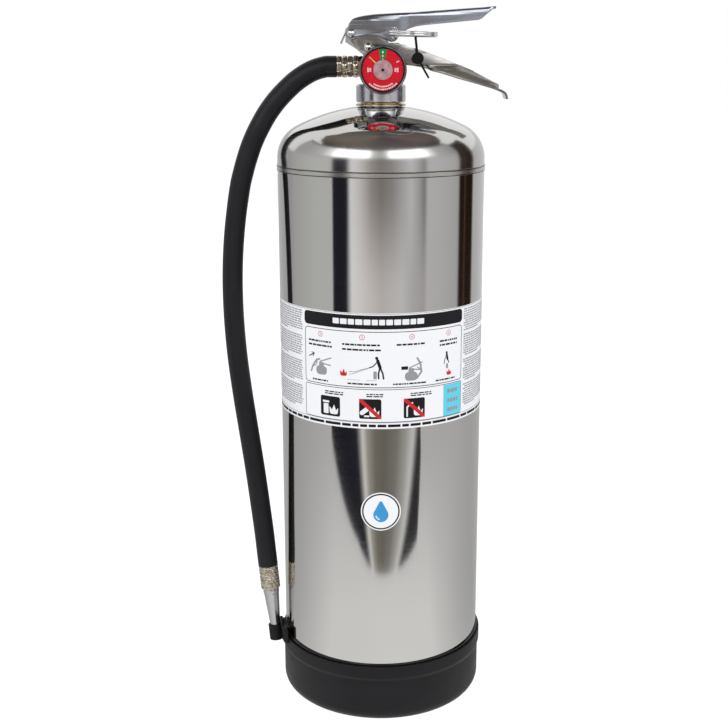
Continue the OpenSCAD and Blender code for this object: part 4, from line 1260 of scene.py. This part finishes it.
class EXTINGUISHER_OT_gauge(bpy.types.Operator):
    """Pressure gauge: case, red dial, green field, ticks, hub and lens"""
    bl_idname = "extinguisher.gauge"
    bl_label = "Gauge"

    def dial_shape(self, bm, points):
        bm.faces.new([bm.verts.new((x * MM, y * MM, 0)) for x, y in points])

    def sector(self, r0, r1, first, last, steps=6):
        return arc_points(0, 0, r0, first, last, steps) \
            + arc_points(0, 0, r1, last, first, steps)

    def dial_piece(self, name, shapes, depth, material):
        bm = bmesh.new()
        for points in shapes:
            self.dial_shape(bm, points)
        bmesh.ops.recalc_face_normals(bm, faces=bm.faces)
        for face in bm.faces:
            if face.normal.z < 0:
                face.normal_flip()
        bmesh.ops.transform(bm, matrix=facing(GAUGE[0], depth, GAUGE[1]), verts=bm.verts)
        return piece(name, bm, material, "root")

    def execute(self, context):
        outline = rounded([
            (2, 0, 0), (18.4, 0, 0.6), (19.4, 1, 1), (19.4, 9.2, 0.6), (19.6, 10.2, 0.4),
            (19.6, 13.0, 0.9), (18.8, 14, 0.5), (18.0, 13.4, 0.3), (18.0, 12.4, 0.2),
            (18.8, 12.2, 0), (18.8, 0.8, 0), (2, 0.8, 0)], 4)
        place = facing(GAUGE[0], -24, GAUGE[1])
        piece("gauge_cup", revolve(outline, 128, place=place), finish(dark_chrome), "root",
              ["gauge_case"])
        repaint("gauge_dial", finish(dial_red))
        repaint("gauge_needle", ink("needle_paint", (0.85, 0.62, 0.06)))
        repaint("gauge_lens", finish(lens_clear))
        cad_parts["gauge_lens"].visible_shadow = False
        black = ink("ink_black", (0.012, 0.012, 0.014), 0.32)
        white = ink("dial_white", (0.9, 0.88, 0.86))
        depth = -35.15
        self.dial_piece("dial_rim", [self.sector(16.9, 18.1, a, a + 15) for a in
                                     range(0, 360, 15)], depth, black)
        self.dial_piece("dial_green", [self.sector(5.0, 17.2, 78, 102)], depth,
                        ink("dial_green", (0.012, 0.25, 0.06)))
        ticks = [self.sector(12.4, 15.2, 136, 138.5), self.sector(12.4, 15.2, 27, 29.5)]
        for r0, r1 in ((7.6, 9.0), (10.2, 11.8), (13.2, 15.0)):
            ticks.append(self.sector(r0, r1, 87.5, 92.5))
        for r0 in (13.8, 12.0):
            for centre in (180, 0):
                for k in range(-2, 3):
                    ticks.append(self.sector(r0 - 2.4, r0 - 1.0, centre + 3.4 * k - 1.2,
                                             centre + 3.4 * k + 1.2, 2))
        for row, (radius, span) in enumerate(((15.6, 46), (13.4, 34))):
            angle = 270 - span
            rng = random.Random(row + 3)
            while angle < 270 + span:
                long = rng.uniform(3.0, 7.5)
                ticks.append(self.sector(radius - 0.55, radius + 0.55, angle, angle + long, 3))
                angle += long + 1.7
        self.dial_piece("dial_marks", ticks, depth - 0.03, white)
        hub = revolve([(0, 0), (8.0, 0), (7.4, 0.35), (0, 0.4)], 48,
                      place=facing(GAUGE[0], -35.95, GAUGE[1]))
        piece("dial_hub", hub, finish(hub_frost), "root")
        cap = revolve(rounded([(0, 0, 0), (1.3, 0, 0.2), (1.0, 0.25, 0.1), (0, 0.3, 0)], 2),
                      24, place=facing(GAUGE[0], -36.36, GAUGE[1]))
        piece("dial_pin", cap, black, "root")
        return {"FINISHED"}


class EXTINGUISHER_OT_inside(bpy.types.Operator):
    """Finishes of the pieces inside the valve and cylinder"""
    bl_idname = "extinguisher.inside"
    bl_label = "Inside pieces"

    def execute(self, context):
        for node in ("siphon_tube", "overfill_tube"):
            repaint(node, finish(tube_white))
        for node in ("siphon_nut", "valve_stem", "bourdon_tube"):
            repaint(node, finish(turned_brass))
        for node in ("spring_seat", "valve_spring"):
            repaint(node, finish(bright_chrome))
        for node in ("collar_oring", "stem_seal", "stem_oring"):
            repaint(node, finish(seal_rubber))
        return {"FINISHED"}


PIECES = (EXTINGUISHER_OT_stage, EXTINGUISHER_OT_hose, EXTINGUISHER_OT_cylinder,
          EXTINGUISHER_OT_boot, EXTINGUISHER_OT_label, EXTINGUISHER_OT_sticker,
          EXTINGUISHER_OT_collar, EXTINGUISHER_OT_handle, EXTINGUISHER_OT_lever,
          EXTINGUISHER_OT_pin, EXTINGUISHER_OT_gauge, EXTINGUISHER_OT_inside)


class EXTINGUISHER_PT_panel(bpy.types.Panel):
    """Lists the settings and one button for each piece"""
    bl_idname = "EXTINGUISHER_PT_panel"
    bl_label = "Extinguisher"
    bl_space_type = "VIEW_3D"
    bl_region_type = "UI"
    bl_category = "Extinguisher"

    def draw(self, context):
        layout = self.layout
        for group in (context.scene.extinguisher_sizes, context.scene.extinguisher_finishes):
            box = layout.box()
            for name in group.bl_rna.properties.keys():
                if name not in ("rna_type", "name"):
                    box.prop(group, name)
        for one in PIECES:
            layout.operator(one.bl_idname)


CLASSES = (ExtinguisherSizes, ExtinguisherFinishes, *PIECES, EXTINGUISHER_PT_panel)


def register():
    for one in CLASSES:
        bpy.utils.register_class(one)
    bpy.types.Scene.extinguisher_sizes = bpy.props.PointerProperty(type=ExtinguisherSizes)
    bpy.types.Scene.extinguisher_finishes = bpy.props.PointerProperty(
        type=ExtinguisherFinishes)


def unregister():
    del bpy.types.Scene.extinguisher_finishes
    del bpy.types.Scene.extinguisher_sizes
    for one in reversed(CLASSES):
        bpy.utils.unregister_class(one)


def main():
    register()
    for one in PIECES:
        group, name = one.bl_idname.split(".")
        getattr(getattr(bpy.ops, group), name)()


if __name__ == "__main__":
    main()
